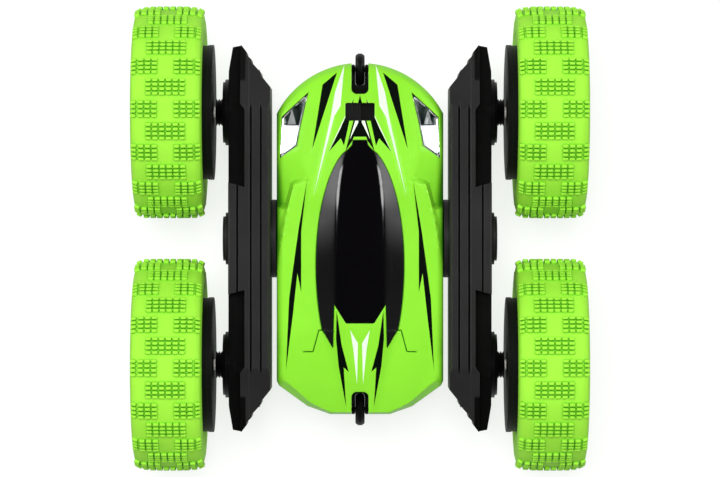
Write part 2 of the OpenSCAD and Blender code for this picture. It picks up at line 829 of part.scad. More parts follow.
upper_shell();
lower_shell();
upper_canopy();
lower_canopy();
shell_screws();
headlight_lenses();
headlight_units();
circuit_board();
power_switch();
switch_knob();
battery_tray();
battery_pack();
battery_cover();
battery_cover_screw();
roller(front_roller_y);  // front_roller
roller(rear_roller_y);  // rear_roller
front_roller_bracket();
rear_roller_bracket();
roller_pins();
pivot_bushes();
motors();
gearbox_bases();
gearbox_covers();
motor_shaft(-1);  // left_motor_shaft
motor_shaft(1);  // right_motor_shaft
motor_pinion(-1);  // left_motor_pinion
motor_pinion(1);  // right_motor_pinion
compound_pin(-1);  // left_compound_pin
compound_pin(1);  // right_compound_pin
compound_gear(-1);  // left_compound_gear
compound_gear(1);  // right_compound_gear
output_gear(-1);  // left_output_gear
output_gear(1);  // right_output_gear
drive_shaft(-1);  // left_drive_shaft
drive_shaft(1);  // right_drive_shaft
on_side(-1) arm_inner_case();  // left_arm_inner_case
arm_inner_case();  // right_arm_inner_case
on_side(-1) arm_outer_case();  // left_arm_outer_case
arm_outer_case();  // right_arm_outer_case
on_side(-1) arm_screws();  // left_arm_screws
arm_screws();  // right_arm_screws
idler_gear(-1, 1);  // left_front_idler_gear
idler_gear(-1, -1);  // left_rear_idler_gear
idler_gear(1, 1);  // right_front_idler_gear
idler_gear(1, -1);  // right_rear_idler_gear
axle_gear(-1, 1);  // left_front_axle_gear
axle_gear(-1, -1);  // left_rear_axle_gear
axle_gear(1, 1);  // right_front_axle_gear
axle_gear(1, -1);  // right_rear_axle_gear
rim(-1, 1);  // left_front_rim
rim(-1, -1);  // left_rear_rim
rim(1, 1);  // right_front_rim
rim(1, -1);  // right_rear_rim
tyre(-1, 1);  // left_front_tyre
tyre(-1, -1);  // left_rear_tyre
tyre(1, 1);  // right_front_tyre
tyre(1, -1);  // right_rear_tyre
wheel_screw(-1, 1);  // left_front_wheel_screw
wheel_screw(-1, -1);  // left_rear_wheel_screw
wheel_screw(1, 1);  // right_front_wheel_screw
wheel_screw(1, -1);  // right_rear_wheel_screw
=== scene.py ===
"""Looks of the double-sided stunt car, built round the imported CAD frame.

Shapes are drawn in millimetres in the car's own frame (+Y to the nose, +Z to the black canopy) and stored in metres.
Each face of the body is a thin moulded sheet: its outline and every cut-out or printed stripe is a polygon in plan,
and body_height() or canopy_height() lifts the sheet to its surface.
"""

import json
import math
from itertools import product

import bmesh
import bpy
import numpy as np
from mathutils import Matrix, Vector
from mathutils.geometry import delaunay_2d_cdt


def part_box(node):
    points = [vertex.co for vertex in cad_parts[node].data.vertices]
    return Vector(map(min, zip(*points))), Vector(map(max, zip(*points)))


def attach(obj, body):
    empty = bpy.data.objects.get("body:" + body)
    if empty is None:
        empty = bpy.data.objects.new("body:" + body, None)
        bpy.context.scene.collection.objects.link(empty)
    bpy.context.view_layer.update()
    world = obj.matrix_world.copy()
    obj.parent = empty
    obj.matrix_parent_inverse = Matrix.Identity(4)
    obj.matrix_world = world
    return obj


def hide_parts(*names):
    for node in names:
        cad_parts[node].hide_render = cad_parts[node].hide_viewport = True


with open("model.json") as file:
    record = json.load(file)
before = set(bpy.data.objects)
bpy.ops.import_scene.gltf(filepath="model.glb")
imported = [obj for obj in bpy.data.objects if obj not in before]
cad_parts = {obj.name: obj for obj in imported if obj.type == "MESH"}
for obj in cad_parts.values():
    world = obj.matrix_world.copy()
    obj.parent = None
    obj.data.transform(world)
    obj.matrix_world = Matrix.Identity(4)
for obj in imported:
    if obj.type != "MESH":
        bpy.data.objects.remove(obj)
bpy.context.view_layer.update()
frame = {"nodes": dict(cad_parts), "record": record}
MM = 0.001

# ---------------------------------------------------------------- sizes, in mm

shell_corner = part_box("upper_shell")[1] / MM
BODY_HW = shell_corner.x
NOSE_Y = shell_corner.y
NOSE_R = 31.9  # roundness of the nose in plan
SEAM = 0.1  # half of the parting line between the two shells
SHEET = 1.3  # thickness of the moulded shells
SLOT_HW = 2.9  # roller slots
SLOT_FRONT = 49.0
SLOT_REAR = -52.0
COVER_FRONT, COVER_REAR, COVER_HW = -22.3, -48.6, 26.7
TAB_FRONT, TAB_HW = -16.1, 7.5
SCREW_Y = -20.2  # battery cover screw
SCREW_SPOTS = [(15.8, 52.6), (25.0, 15.6), (17.2, -55.2)]
SWITCH_Y = 42.9
CANOPY_HW, CANOPY_MID = 14.9, -9.0
AXLE_Y = 43.2
TYRE_X = 65.0
TYRE_R = 36.3
FLOOR_Z = -TYRE_R - 0.02
SUNK_X, SUNK_Z = 38.9, 11.5  # the arm's sunk outside, beyond the block around its pivot
BLOCK_HALF = 17.4  # half length of that block
ROUND_ANGLES = np.linspace(0, 2 * math.pi, 28, endpoint=False)  # corners of a round hole

# ---------------------------------------------------------------- small maths


def smooth(lo, hi, t):
    """0 at lo, 1 at hi, with flat ends. lo may be the larger one."""
    s = np.clip((np.asarray(t, float) - lo) / (hi - lo), 0, 1)
    return s * s * (3 - 2 * s)


def through(*points):
    """A smooth curve y(x) through the points that never overshoots them."""
    xs, ys = np.array(sorted(points), float).T
    d = np.diff(ys) / np.diff(xs)
    inner = np.where(d[:-1] * d[1:] > 0, 2 * d[:-1] * d[1:] / (d[:-1] + d[1:] + 1e-12), 0)
    m = np.concatenate([[d[0]], inner, [d[-1]]])

    def value(x):
        x = np.clip(x, xs[0], xs[-1])
        i = np.clip(np.searchsorted(xs, x) - 1, 0, len(d) - 1)
        h = xs[i + 1] - xs[i]
        t = (x - xs[i]) / h
        a = (1 + 2 * t) * (1 - t) ** 2 * ys[i] + t * t * (3 - 2 * t) * ys[i + 1]
        return a + h * (t * (1 - t) ** 2 * m[i] + t * t * (t - 1) * m[i + 1])

    return value


def straight(*points):
    """The polyline y(x) through the points."""
    xs, ys = np.array(sorted(points), float).T
    return lambda x: np.interp(x, xs, ys)


def distance(points, x, y, closed=True):
    """Distance of every (x, y) from a polyline."""
    a = np.asarray(points, float)
    b = np.roll(a, -1, 0)
    if not closed:
        a, b = a[:-1], b[:-1]
    best = np.full(np.shape(x), 1e9)
    for p, q in zip(a, b):
        e = q - p
        t = np.clip(((x - p[0]) * e[0] + (y - p[1]) * e[1]) / max(e @ e, 1e-12), 0, 1)
        best = np.minimum(best, np.hypot(x - p[0] - t * e[0], y - p[1] - t * e[1]))
    return best


def inside(points, x, y):
    """Even-odd test of every (x, y) against a closed polygon."""
    a = np.asarray(points, float)
    hit = np.zeros(np.shape(x), bool)
    for (px, py), (qx, qy) in zip(a, np.roll(a, -1, 0)):
        if py != qy:
            hit ^= ((py > y) != (qy > y)) & (x < (qx - px) * (y - py) / (qy - py) + px)
    return hit


def densify(points, step, closed=True):
    """Adds points so that none is further than step from the next."""
    a = [np.array(p, float) for p in points]
    out = []
    for p, q in zip(a, a[1:] + a[:1] if closed else a[1:]):
        n = max(1, math.ceil(np.linalg.norm(q - p) / step))
        out += [p + (q - p) * i / n for i in range(n)]
    return out if closed else out + [a[-1]]


def mirrored(points):
    """Closes a half outline (x >= 0, front to rear or back) with its reflection."""
    return list(points) + [(-x, y) for x, y in reversed(points)]


def flipped(points):
    return [(-x, y) for x, y in points]


def rounded(points, radii, steps=5):
    """Rounds the corners of a closed polygon."""
    out = []
    n = len(points)
    for i, p in enumerate(points):
        r = radii[i] if isinstance(radii, (list, tuple)) else radii
        p = np.array(p, float)
        a, b = (np.array(points[j % n], float) - p for j in (i - 1, i + 1))
        if r <= 0:
            out.append(tuple(p))
            continue
        a, b = a / np.linalg.norm(a), b / np.linalg.norm(b)
        half = math.acos(np.clip(a @ b, -1, 1)) / 2
        mid = (a + b) / np.linalg.norm(a + b)
        centre = p + mid * r / math.sin(half)
        s, e = p + a * r / math.tan(half) - centre, p + b * r / math.tan(half) - centre
        for k in range(steps + 1):
            v = s * (1 - k / steps) + e * k / steps
            out.append(tuple(centre + v / np.linalg.norm(v) * r))
    return out


# ---------------------------------------------------------------- outlines in plan


def plan_outline(inset=0.0):
    hw, r = BODY_HW - inset, NOSE_R - inset
    arc = math.asin(hw / r)
    nose = [(r * math.sin(a), NOSE_Y - NOSE_R + r * math.cos(a)) for a in np.linspace(0.003, arc, 30)]
    tail = [(hw, -48.6 + inset * 0.3), (hw - 0.8, -50.2 + inset * 0.4), (17.8 - inset * 0.4, -57.4 + inset * 0.9),
            (10.1, inset - NOSE_Y), (0.003, inset - NOSE_Y)]
    return mirrored(nose + tail)


def canopy_x(y, inset=0.0):
    a = np.where(y > CANOPY_MID, 41.0, 43.0)
    return CANOPY_HW * np.sqrt(np.clip(1 - ((y - CANOPY_MID) / a) ** 2, 0, 1)) - inset


def canopy_outline(inset=0.0):
    neck = [(2.4 - inset, 33.3 - inset), (2.7 - inset, 31.6 - inset * 0.5), (3.9 - inset, 30.2)]
    side = [(float(canopy_x(y, inset)), y) for y in np.arange(28.6, -32.1, -1.6)]
    wing = [(9.3 - inset * 0.4, -37.0 + inset * 2), (8.75 + inset, -22.2 + inset * 2.5),
            (4.7 - inset * 0.3, -28.6 + inset)]
    return mirrored(neck + side + wing)


def cover_outline(inset=0.0):
    hw, tab = COVER_HW - inset, TAB_HW - inset
    front, rear, top = COVER_FRONT - inset, COVER_REAR + inset, TAB_FRONT - inset
    corners = mirrored([(tab, top), (tab, front), (hw, front), (hw, rear)])
    return rounded(corners, [0.8, 0, 1.0, 1.0, 1.0, 1.0, 0, 0.8])


def circle(x, y, r):
    return [(x + r * math.cos(a), y + r * math.sin(a)) for a in ROUND_ANGLES]


def rectangle(x0, x1, y0, y1):
    return [(x0, y0), (x1, y0), (x1, y1), (x0, y1)]


HEADLIGHT = [(17.5, 49.6), (26.6, 41.2), (27.2, 27.2), (21.4, 31.4), (20.0, 39.0)]
FRONT_SLOT = rounded([(-SLOT_HW, 70), (-SLOT_HW, SLOT_FRONT), (SLOT_HW, SLOT_FRONT), (SLOT_HW, 70)], [0, 1.8, 1.8, 0])
REAR_SLOT = rounded([(SLOT_HW, -70), (SLOT_HW, SLOT_REAR), (-SLOT_HW, SLOT_REAR), (-SLOT_HW, -70)], [0, 1.8, 1.8, 0])
SWITCH_SLOT = rounded(rectangle(-4.95, 4.95, SWITCH_Y - 3, SWITCH_Y + 3), 0.5)
FINGER = rounded(rectangle(-5.05, 5.05, -16.3, -4.7), [0, 0, 3.2, 3.2], 7)
PANEL_LINE = [(18.7, -38.3), (15.9, -38.3), (13.9, -31.0), (8.9, -31.3)]

# Printed stripes, right half; each is mirrored to the left
BLACK_PRINT = [
    [(7.8, 56.4), (12.7, 52.2), (16.2, 30.1)],
    [(2.1, 47.4), (6.75, 37.0), (10.5, 29.4), (6.5, 33.9), (5.4, 31.4), (2.7, 44.0)],
    [(17.9, 20.0), (20.9, 2.4), (22.9, -12.0), (24.0, -20.4), (25.1, -44.8), (22.7, -25.6), (21.2, -11.8),
     (19.9, -18.2), (19.9, 2.4)],
    [(7.9, -24.2), (8.1, -33.9), (7.2, -43.5), (4.7, -57.2), (5.5, -43.6), (3.8, -45.2), (6.2, -36.0)],
]
WHITE_PRINT = [
    [(5.3, 59.3), (8.5, 49.5), (10.0, 40.5), (15.7, 14.4), (8.7, 41.4), (6.6, 44.9)],
    [(3.3, -30.9), (2.3, -37.0), (1.0, -49.4), (0.7, -35.4)],
    [(0.3, 45.0), (1.6, 40.0), (3.5, 33.4), (0.6, 39.2)],
    [(2.2, 47.6), (7.3, 36.7), (10.75, 29.1), (6.75, 37.0)],
]
# The middle arrow, whole
ARROW = [(0, 48.5), (4.9, 29.6), (2.6, 33.0), (2.1, 34.4), (-2.1, 34.4), (-2.6, 33.0), (-4.9, 29.6)]

# ---------------------------------------------------------------- surfaces

# Heights along the middle of the deck and of the canopy, and x of the lines along the body's right half
hood = through((60.3, 9.4), (54, 12.4), (46, 14.5), (38, 15.9), (30, 16.8), (20, 17.3), (8, 17.4), (-28, 17.2),
               (-40, 16.3), (-48, 14.8), (-55, 12.4), (-60.3, 10.2))
crest = through((33.3, 16.9), (29, 17.7), (24, 18.8), (10, 20.5), (-5, 20.95), (-20, 20.8), (-27, 20.4), (-38, 18.5),
                (-48, 15.8), (-57, 12.2), (-60.3, 10.6))
ridge_x = straight((59.4, 4.9), (44, 8.55), (14, 15.8))
crest_x = straight((49.2, 17.5), (33, 20.3), (20, 18.3))
fold_x = straight((31, 15.0), (20.9, 18.5))
pod_in = straight((20.5, 17.6), (2.4, 20.7), (-12, 22.7), (-44.8, 25.1))
skirt_x = straight((-31, 12.9), (-37, 11.4), (-48, 9.0), (-57, 6.6), (-60.3, 6.0))
POD_EDGE = [(17.9, 19.7), (22.4, 18.3), (24.4, 10.8), (25.9, 2.6), (27.2, -7.0), (28.7, -17.0)]
POD = POD_EDGE + [(32.0, -30.0), (8.0, -30.0), (8.0, 19.7)]
POD_STEP = 1.2  # width of the step down from the pod
POD_CHAMFER = 0.9  # width of the chamfer on the pod's edge
CAMBER = 0.0031  # fall of the deck to its sides, per mm squared
SCOOP_DEPTH, SIDE_DEPTH = 5.2, 1.2  # fall of the deck behind the headlight, and beside the pod
POD_RISE, RIDGE_RISE, FOLD_RISE, CREST_RISE = 0.75, 0.6, 0.28, 0.4
ROUND_DEPTH, ROUND_WIDTH = 2.1, 2.4  # rounding of the body's outer edge
BEVEL_DEPTH = 3.4  # drop of the bevel round the tail
PLAN = plan_outline(0.3)
PLAN_TOP = plan_outline(0.35)  # edge of the body's sheets
CANOPY_EDGE = canopy_outline(0.1)
FLARE = (BODY_HW / (BODY_HW - 0.37), NOSE_Y / (NOSE_Y - 0.37))  # spread of their walls at the parting line


def flat_x(y):
    """Half width of the flat strip along the middle of the canopy and the tail."""
    front = 7.9 * np.sqrt(np.clip(1 - (np.maximum(y - 5, 0) / 29.5) ** 2, 0.02, 1))
    return front - 3.7 * smooth(-26, -62, y)


def crease_half(y):
    """Half width of the rounded crease beside the flat strip."""
    return 0.3 + 0.55 * smooth(30, 20, y)


def crest_bump(x, y):
    """The soft crest beside each headlight."""
    return CREST_RISE * np.exp(-(((np.abs(x) - crest_x(y)) / 1.2) ** 2)) * smooth(19, 24, y) * smooth(56, 46, y)


def deck_height(x, y):
    """Height of the green deck and its pods, without the rounding of its outer edge."""
    ax = np.abs(x)
    z = hood(y) - CAMBER * ax**2
    on_pod, from_edge = inside(POD, ax, y), distance(POD_EDGE, ax, y, False)
    pod = np.where(y < -16, 1.0, np.clip(1 - np.where(on_pod, 0.0, from_edge) / POD_STEP, 0, 1))
    z = z - POD_CHAMFER * 0.28 * np.clip(1 - from_edge / POD_CHAMFER, 0, 1) * on_pod * smooth(-14, -6, y)
    scoop = SCOOP_DEPTH * smooth(30, 12.5, y) * smooth(9.8, 11.6, y) * smooth(16, 28.5, ax)
    scoop = scoop + SIDE_DEPTH * smooth(12, 9.6, y) * smooth(-14, 4, y) * smooth(18, 24, ax)
    z = z - scoop * (1 - pod)
    z = z + POD_RISE * pod * smooth(-0.9, 0.2, ax - pod_in(y)) * smooth(-52, -16, y)
    z = z + RIDGE_RISE * smooth(0.7, -0.7, ax - ridge_x(y)) * smooth(6, 18, y) * smooth(60, 50, y)
    z = z + FOLD_RISE * np.clip(1 - np.abs(ax - fold_x(y)) / 1.1, 0, 1) * smooth(19, 22, y) * smooth(33, 29, y)
    return z + crest_bump(x, y)


def dome_height(x, y, lift):
    """The faceted canopy: a flat strip along the middle and a slope down to the deck on each side."""
    ax = np.abs(x)
    flat = flat_x(y)
    outer = np.where(y > -31, np.maximum(canopy_x(y), 2.5), skirt_x(y))
    base = hood(y) - CAMBER * outer**2 + 0.3 * smooth(6, 18, y) + lift
    top = crest(y)
    t, soft = ax - flat, crease_half(y)
    past = np.where(t < -soft, 0, np.where(t > soft, t, (t + soft) ** 2 / (4 * soft)))
    z = top - (top - base) * np.clip(past / np.maximum(outer - flat, 0.6), 0, 1.6)
    return z + 0.22 * (1 - np.clip(ax / flat, 0, 1) ** 2)


def canopy_height(x, y):
    return dome_height(x, y, 0.3) + 0.12


def curve(x_of, ys):
    """The line x = x_of(y), as one point for each y."""
    return [(float(x_of(y)), float(y)) for y in ys]


def canopy_creases():
    """Where the canopy's flat strip meets its sides."""
    right = [curve(lambda y: flat_x(y) + d * crease_half(y), np.arange(30.0, -37, -1.5)) for d in (-1, 0, 1)]
    return right + [flipped(line) for line in right]


def body_creases():
    """Lines where the body's surface turns sharply, at the pods, ridges and crests and on the tail."""
    step = [(17.9, 19.7 + POD_STEP), (22.8, 18.3 + POD_STEP * 0.95)]
    step += [(a + 0.95 * POD_STEP, b + 0.3 * POD_STEP) for a, b in POD_EDGE[1:]]
    pod = [POD_EDGE[:-1], [p for p in step if p[0] < 27.8]]
    pod.append(curve(pod_in, np.arange(18, -16, -4.0)))
    pod.append(curve(ridge_x, np.arange(56, 13, -4.0)))
    pod.append(curve(fold_x, (31.0, 28.0, 25.0, 21.5)))
    pod.append([(18.0, 18.8)] + [(a - POD_CHAMFER, b - 0.15 * POD_CHAMFER) for a, b in POD_EDGE[2:-1]])
    pod += [curve(lambda y: crest_x(y) + d, np.arange(54, 20, -3.0)) for d in (0.0, 1.1)]
    pod += [[(22.0, 11.6), (28.0, 11.6)], [(25.0, 9.8), (28.0, 9.8)]]
    tail = [curve(flat_x, np.arange(-24, -59, -3.0)), curve(skirt_x, np.arange(-38, -59, -3.0))]
    edge = densify([p for p in PLAN[:len(PLAN) // 2] if p[1] < -47.5], 1.2, False)
    bevel = []
    for p, q in zip(edge, edge[1:]):
        inward = np.array([q[1] - p[1], p[0] - q[0]]) / np.linalg.norm(q - p)
        inner = p + inward * bevel_width(p[0])
        inner = p + inward * bevel_width(inner[0])
        if distance(PLAN, *inner) > bevel_width(inner[0]) - 0.05:
            bevel.append(tuple(inner))
    right = pod + tail + [bevel]
    return right + [flipped(line) for line in right]


def bevel_width(x):
    """Width of the bevel round the tail, which widens toward the corners."""
    return 0.8 + 1.9 * smooth(9, 27, np.abs(x))


def body_height(x, y):
    """Height of the body's face over any point of the plan."""
    z = deck_height(x, y)
    tail = dome_height(x, y, -0.25)
    z = np.where(y < -20, np.maximum(z, tail), z)
    d = distance(PLAN, x, y)
    rounding = ROUND_DEPTH * np.clip(1 - d / ROUND_WIDTH, 0, 1) ** 2
    bevel = BEVEL_DEPTH * np.clip(1 - d / bevel_width(x), 0, 1)
    tail_share = smooth(-46, -50, y)
    return z - rounding * (1 - tail_share) - bevel * tail_share


BODY_CREASES = body_creases()

# ---------------------------------------------------------------- mesh building


def add_object(name, data):
    obj = bpy.data.objects.new(name, data)
    bpy.context.scene.collection.objects.link(obj)
    return obj


def make_object(name, verts, faces, materials, index=None, sharp=35):
    """A mesh object from millimetres, smooth-shaded with edges sharper than `sharp` degrees kept."""
    mesh = bpy.data.meshes.new(name)
    mesh.from_pydata([Vector(v) * MM for v in verts], [], faces)
    for m in materials:
        mesh.materials.append(m)
    if index is not None:
        mesh.polygons.foreach_set("material_index", index)
    mesh.validate()
    shade(mesh, sharp)
    return add_object(name, mesh)


def shade(mesh, sharp):
    mesh.polygons.foreach_set("use_smooth", [True] * len(mesh.polygons))
    mesh.set_sharp_from_angle(angle=math.radians(sharp))
    mesh.update()


def bake(obj, sharp):
    """Applies the object's modifiers."""
    bpy.context.view_layer.update()
    dg = bpy.context.evaluated_depsgraph_get()
    mesh = bpy.data.meshes.new_from_object(obj.evaluated_get(dg), preserve_all_data_layers=True, depsgraph=dg)
    obj.modifiers.clear()
    obj.data = mesh
    shade(mesh, sharp)


def join(objs, name):
    """Joins mesh objects into one piece, keeping every material."""
    bm = bmesh.new()
    mats = []
    for o in objs:
        first = len(bm.faces)
        bm.from_mesh(o.data)
        bm.faces.ensure_lookup_table()
        slots = []
        for m in o.data.materials:
            if m not in mats:
                mats.append(m)
            slots.append(mats.index(m))
        for f in bm.faces[first:]:
            f.material_index = slots[f.material_index]
    mesh = bpy.data.meshes.new(name)
    bm.to_mesh(mesh)
    bm.free()
    for m in mats:
        mesh.materials.append(m)
    for o in objs:
        bpy.data.objects.remove(o)
    return add_object(name, mesh)


def offset_points(points, d, closed):
    """Points at distance d from a dense polyline, on both sides."""
    p = np.array(points)
    t = np.roll(p, -1, 0) - np.roll(p, 1, 0)
    if not closed:
        t[0], t[-1] = p[1] - p[0], p[-1] - p[-2]
    n = np.stack([-t[:, 1], t[:, 0]], 1) / np.maximum(np.linalg.norm(t, axis=1), 1e-9)[:, None]
    return np.concatenate([p + n * d, p - n * d])


RIM_R, RIM_DROP = 0.4, 0.2  # rounding of every cut edge
GROOVE_HW, GROOVE_DEPTH = 0.22, 0.5
GRID_STEP = 1.0  # of the mesh between lines
WALL_ROWS = (1.0, 1.7, 2.3, 3.0, 3.6)  # rows of corners beside a wall, where the surface rounds off
LINE_GAP, ROW_GAP = 0.3, 0.14  # least distance of the grid and of rows from any line


def pivot_arch(y):
    """Lower edge of the body's wall: the parting line, raised over the bush of the arms' pivot."""
    return max(SEAM, math.sqrt(max(0.0, 7.6**2 - y * y)))


def clear_of(points, paths, gap):
    """The points that are further than gap from every path."""
    near = np.full(len(points), 1e9)
    for path, closed in paths:
        near = np.minimum(near, distance(path, points[:, 0], points[:, 1], closed))
    return points[near > gap]


def plan_mesh(loops, prints, lines, bends, wall, rim):
    """Corners and triangles in plan that follow every line, with rows of corners beside rims, grooves and wall."""
    paths = [(p, True) for p in loops + prints] + [(p, False) for p in lines + bends]
    fixed, along = [], []
    for path, closed in paths:
        n, last = len(fixed), len(fixed) + len(path) - 1
        fixed += [tuple(p) for p in path]
        along += [(i, i + 1) for i in range(n, last)] + ([(last, n)] if closed else [])
    free = [offset_points(loop, d, True) for loop in loops for d in (RIM_R / 2, RIM_R)] if rim else []
    free += [offset_points(line, GROOVE_HW, False) for line in lines]
    if wall is not None:
        free += [offset_points(densify(wall, 0.9), d, True) for d in WALL_ROWS]
    (x0, y0), (x1, y1) = np.min(fixed, axis=0), np.max(fixed, axis=0)
    gx, gy = np.meshgrid(np.arange(x0, x1, GRID_STEP), np.arange(y0, y1, GRID_STEP))
    gx = gx + (np.arange(len(gx)) % 2)[:, None] * GRID_STEP / 2
    free.append(clear_of(np.stack([gx.ravel(), gy.ravel()], 1), paths, LINE_GAP + (RIM_R if rim else 0)))
    free = clear_of(np.concatenate(free), paths, ROW_GAP)
    corners, _, faces, _, _, _ = delaunay_2d_cdt([Vector(p) for p in (*fixed, *free)], along, [], 0, 1e-4)
    return np.array([(v.x, v.y) for v in corners]), np.array([f for f in faces if len(f) == 3])


def hang_wall(verts, faces, index, on_wall, wall_z, flare):
    """Adds a wall below the sheet's open edges on the wall's outline, spread by the two factors in flare."""
    once = {}
    for f in faces:
        for a, b in zip(f, f[1:] + f[:1]):
            if (b, a) in once:
                del once[(b, a)]
            else:
                once[(a, b)] = True
    below = {}

    def lower(i):
        if i not in below:
            below[i] = len(verts)
            x, y = verts[i][:2]
            verts.append((x * flare[0], y * flare[1], pivot_arch(y) if wall_z is None else wall_z))
        return below[i]

    for a, b in once:
        if on_wall[a] and on_wall[b]:
            faces.append((a, lower(a), lower(b), b))
            index.append(0)


def sheet(name, height, keep, materials, edges=(), marks=(), grooves=(), creases=(), wall=None, wall_z=None,
          thickness=SHEET, side=1, rim=True, flare=FLARE):
    """A moulded sheet: the part of the plan where keep(x, y) gives a material index of 0 or more, lifted to height.

    edges are closed outlines that get a rounded rim, marks are closed outlines of print, grooves are open lines
    that are cut in, and creases are open lines that the mesh follows. wall is the outline that gets a wall down to
    wall_z, or to the body's parting line. side is 1 for the black face and -1 for the silver one.
    """
    loops = [densify(e, 0.6) for e in edges] + ([densify(wall, 0.6)] if wall is not None else [])
    plan, tri = plan_mesh(loops, [densify(m, 0.7) for m in marks], [densify(g, 0.6, False) for g in grooves],
                          [densify(c, 0.8, False) for c in creases], wall, rim)
    middle = plan[tri].mean(1)
    index = keep(middle[:, 0], middle[:, 1])
    tri, index = tri[index >= 0], index[index >= 0]
    cross = np.cross(plan[tri[:, 1]] - plan[tri[:, 0]], plan[tri[:, 2]] - plan[tri[:, 0]])
    tri[cross < 0] = tri[cross < 0][:, ::-1]
    tri, index = tri[np.abs(cross) > 1e-7], list(index[np.abs(cross) > 1e-7])
    used, tri = np.unique(tri, return_inverse=True)
    x, y = plan[used].T
    z = height(x, y)
    if rim and edges:
        d = np.min([distance(e, x, y) for e in loops[:len(edges)]], axis=0)
        z = z - RIM_DROP * np.clip(1 - d / RIM_R, 0, 1) ** 2
    for line in grooves:
        z = z - GROOVE_DEPTH * np.clip(1 - distance(line, x, y, False) / GROOVE_HW, 0, 1)
    verts = [tuple(v) for v in np.stack([x, y, z], 1)]
    faces = [tuple(int(i) for i in t) for t in tri.reshape(-1, 3)]
    if wall is not None:
        hang_wall(verts, faces, index, distance(wall, x, y) < 0.02, wall_z, flare)
    if side < 0:
        verts = [(a, b, -c) for a, b, c in verts]
        faces = [f[::-1] for f in faces]
    obj = make_object(name, verts, faces, materials, index)
    solid = obj.modifiers.new("thickness", "SOLIDIFY")
    solid.thickness = thickness * MM
    solid.offset = -1
    bake(obj, 35)
    return obj


def prism(name, points, z0, z1, material, bevel=0.0, segments=2):
    """An upright prism from an outline; z1 may be a function of x and y."""
    pts = densify(points, 1.0) if callable(z1) else [np.array(p) for p in points]
    n = len(pts)
    top = [float(z1(*p)) if callable(z1) else z1 for p in pts]
    verts = [(p[0], p[1], z0) for p in pts] + [(p[0], p[1], t) for p, t in zip(pts, top)]
    faces = [(i, (i + 1) % n, n + (i + 1) % n, n + i) for i in range(n)]
    faces += [tuple(reversed(range(n))), tuple(range(n, 2 * n))]
    obj = make_object(name, verts, faces, [material], sharp=30)
    if bevel:
        edges = obj.modifiers.new("edges", "BEVEL")
        edges.width = bevel * MM
        edges.segments = segments
        edges.limit_method = "ANGLE"
        edges.angle_limit = math.radians(30)
        edges.harden_normals = False
        bake(obj, 30)
    return obj


def lathe(name, profile, material, steps, at=(0, 0, 0), axis="X", sharp=35):
    """Turns a closed profile of (radius, height) about an axis."""
    verts, faces = [], []
    n = len(profile)
    for k in range(steps):
        a = 2 * math.pi * k / steps
        for r, h in profile:
            c, s = r * math.cos(a), r * math.sin(a)
            p = (h, c, s) if axis == "X" else (c, s, h)
            verts.append((p[0] + at[0], p[1] + at[1], p[2] + at[2]))
    for k in range(steps):
        this, following = k * n, (k + 1) % steps * n
        for i in range(n):
            j = (i + 1) % n
            faces.append((this + i, this + j, following + j, following + i))
    return make_object(name, verts, faces, [material], sharp=sharp)


def flip_z(obj):
    """Turns a piece of the black face into the same piece of the silver face."""
    obj.data.transform(Matrix.Diagonal((1, 1, -1, 1)))
    obj.data.flip_normals()
    obj.data.update()
    return obj


# ---------------------------------------------------------------- materials


class Nodes:
    """The node tree of a material or world."""

    def __init__(self, owner):
        owner.use_nodes = True
        self.tree = owner.node_tree
        self.tree.nodes.clear()

    def add(self, kind, *sockets, **values):
        """A node with inputs or settings set by name, and its first inputs linked to the sockets."""
        node = self.tree.nodes.new(kind)
        for k, v in values.items():
            if k in node.inputs:
                node.inputs[k].default_value = v
            else:
                setattr(node, k, v)
        for socket, value in zip(node.inputs, sockets):
            self.link(value, socket)
        return node

    def link(self, a, b):
        self.tree.links.new(a, b)

    def math(self, operation, *sockets, **values):
        return self.add("ShaderNodeMath", *sockets, operation=operation, **values).outputs[0]

    def ramp(self, value, lo, hi, a, b, kind="LINEAR"):
        """Maps value from lo..hi to a..b."""
        m = self.add("ShaderNodeMapRange", value, interpolation_type=kind)
        for k, v in (("From Min", lo), ("From Max", hi), ("To Min", a), ("To Max", b)):
            m.inputs[k].default_value = v
        return m.outputs["Result"]

    def mix(self, factor, a, b):
        """Mixes two colours, each a tuple or a socket."""
        m = self.add("ShaderNodeMix", factor, data_type="RGBA")
        for socket, v in ((m.inputs[6], a), (m.inputs[7], b)):
            if isinstance(v, tuple):
                socket.default_value = (*v, 1)
            else:
                self.link(v, socket)
        return m.outputs[2]


FINISH = {}


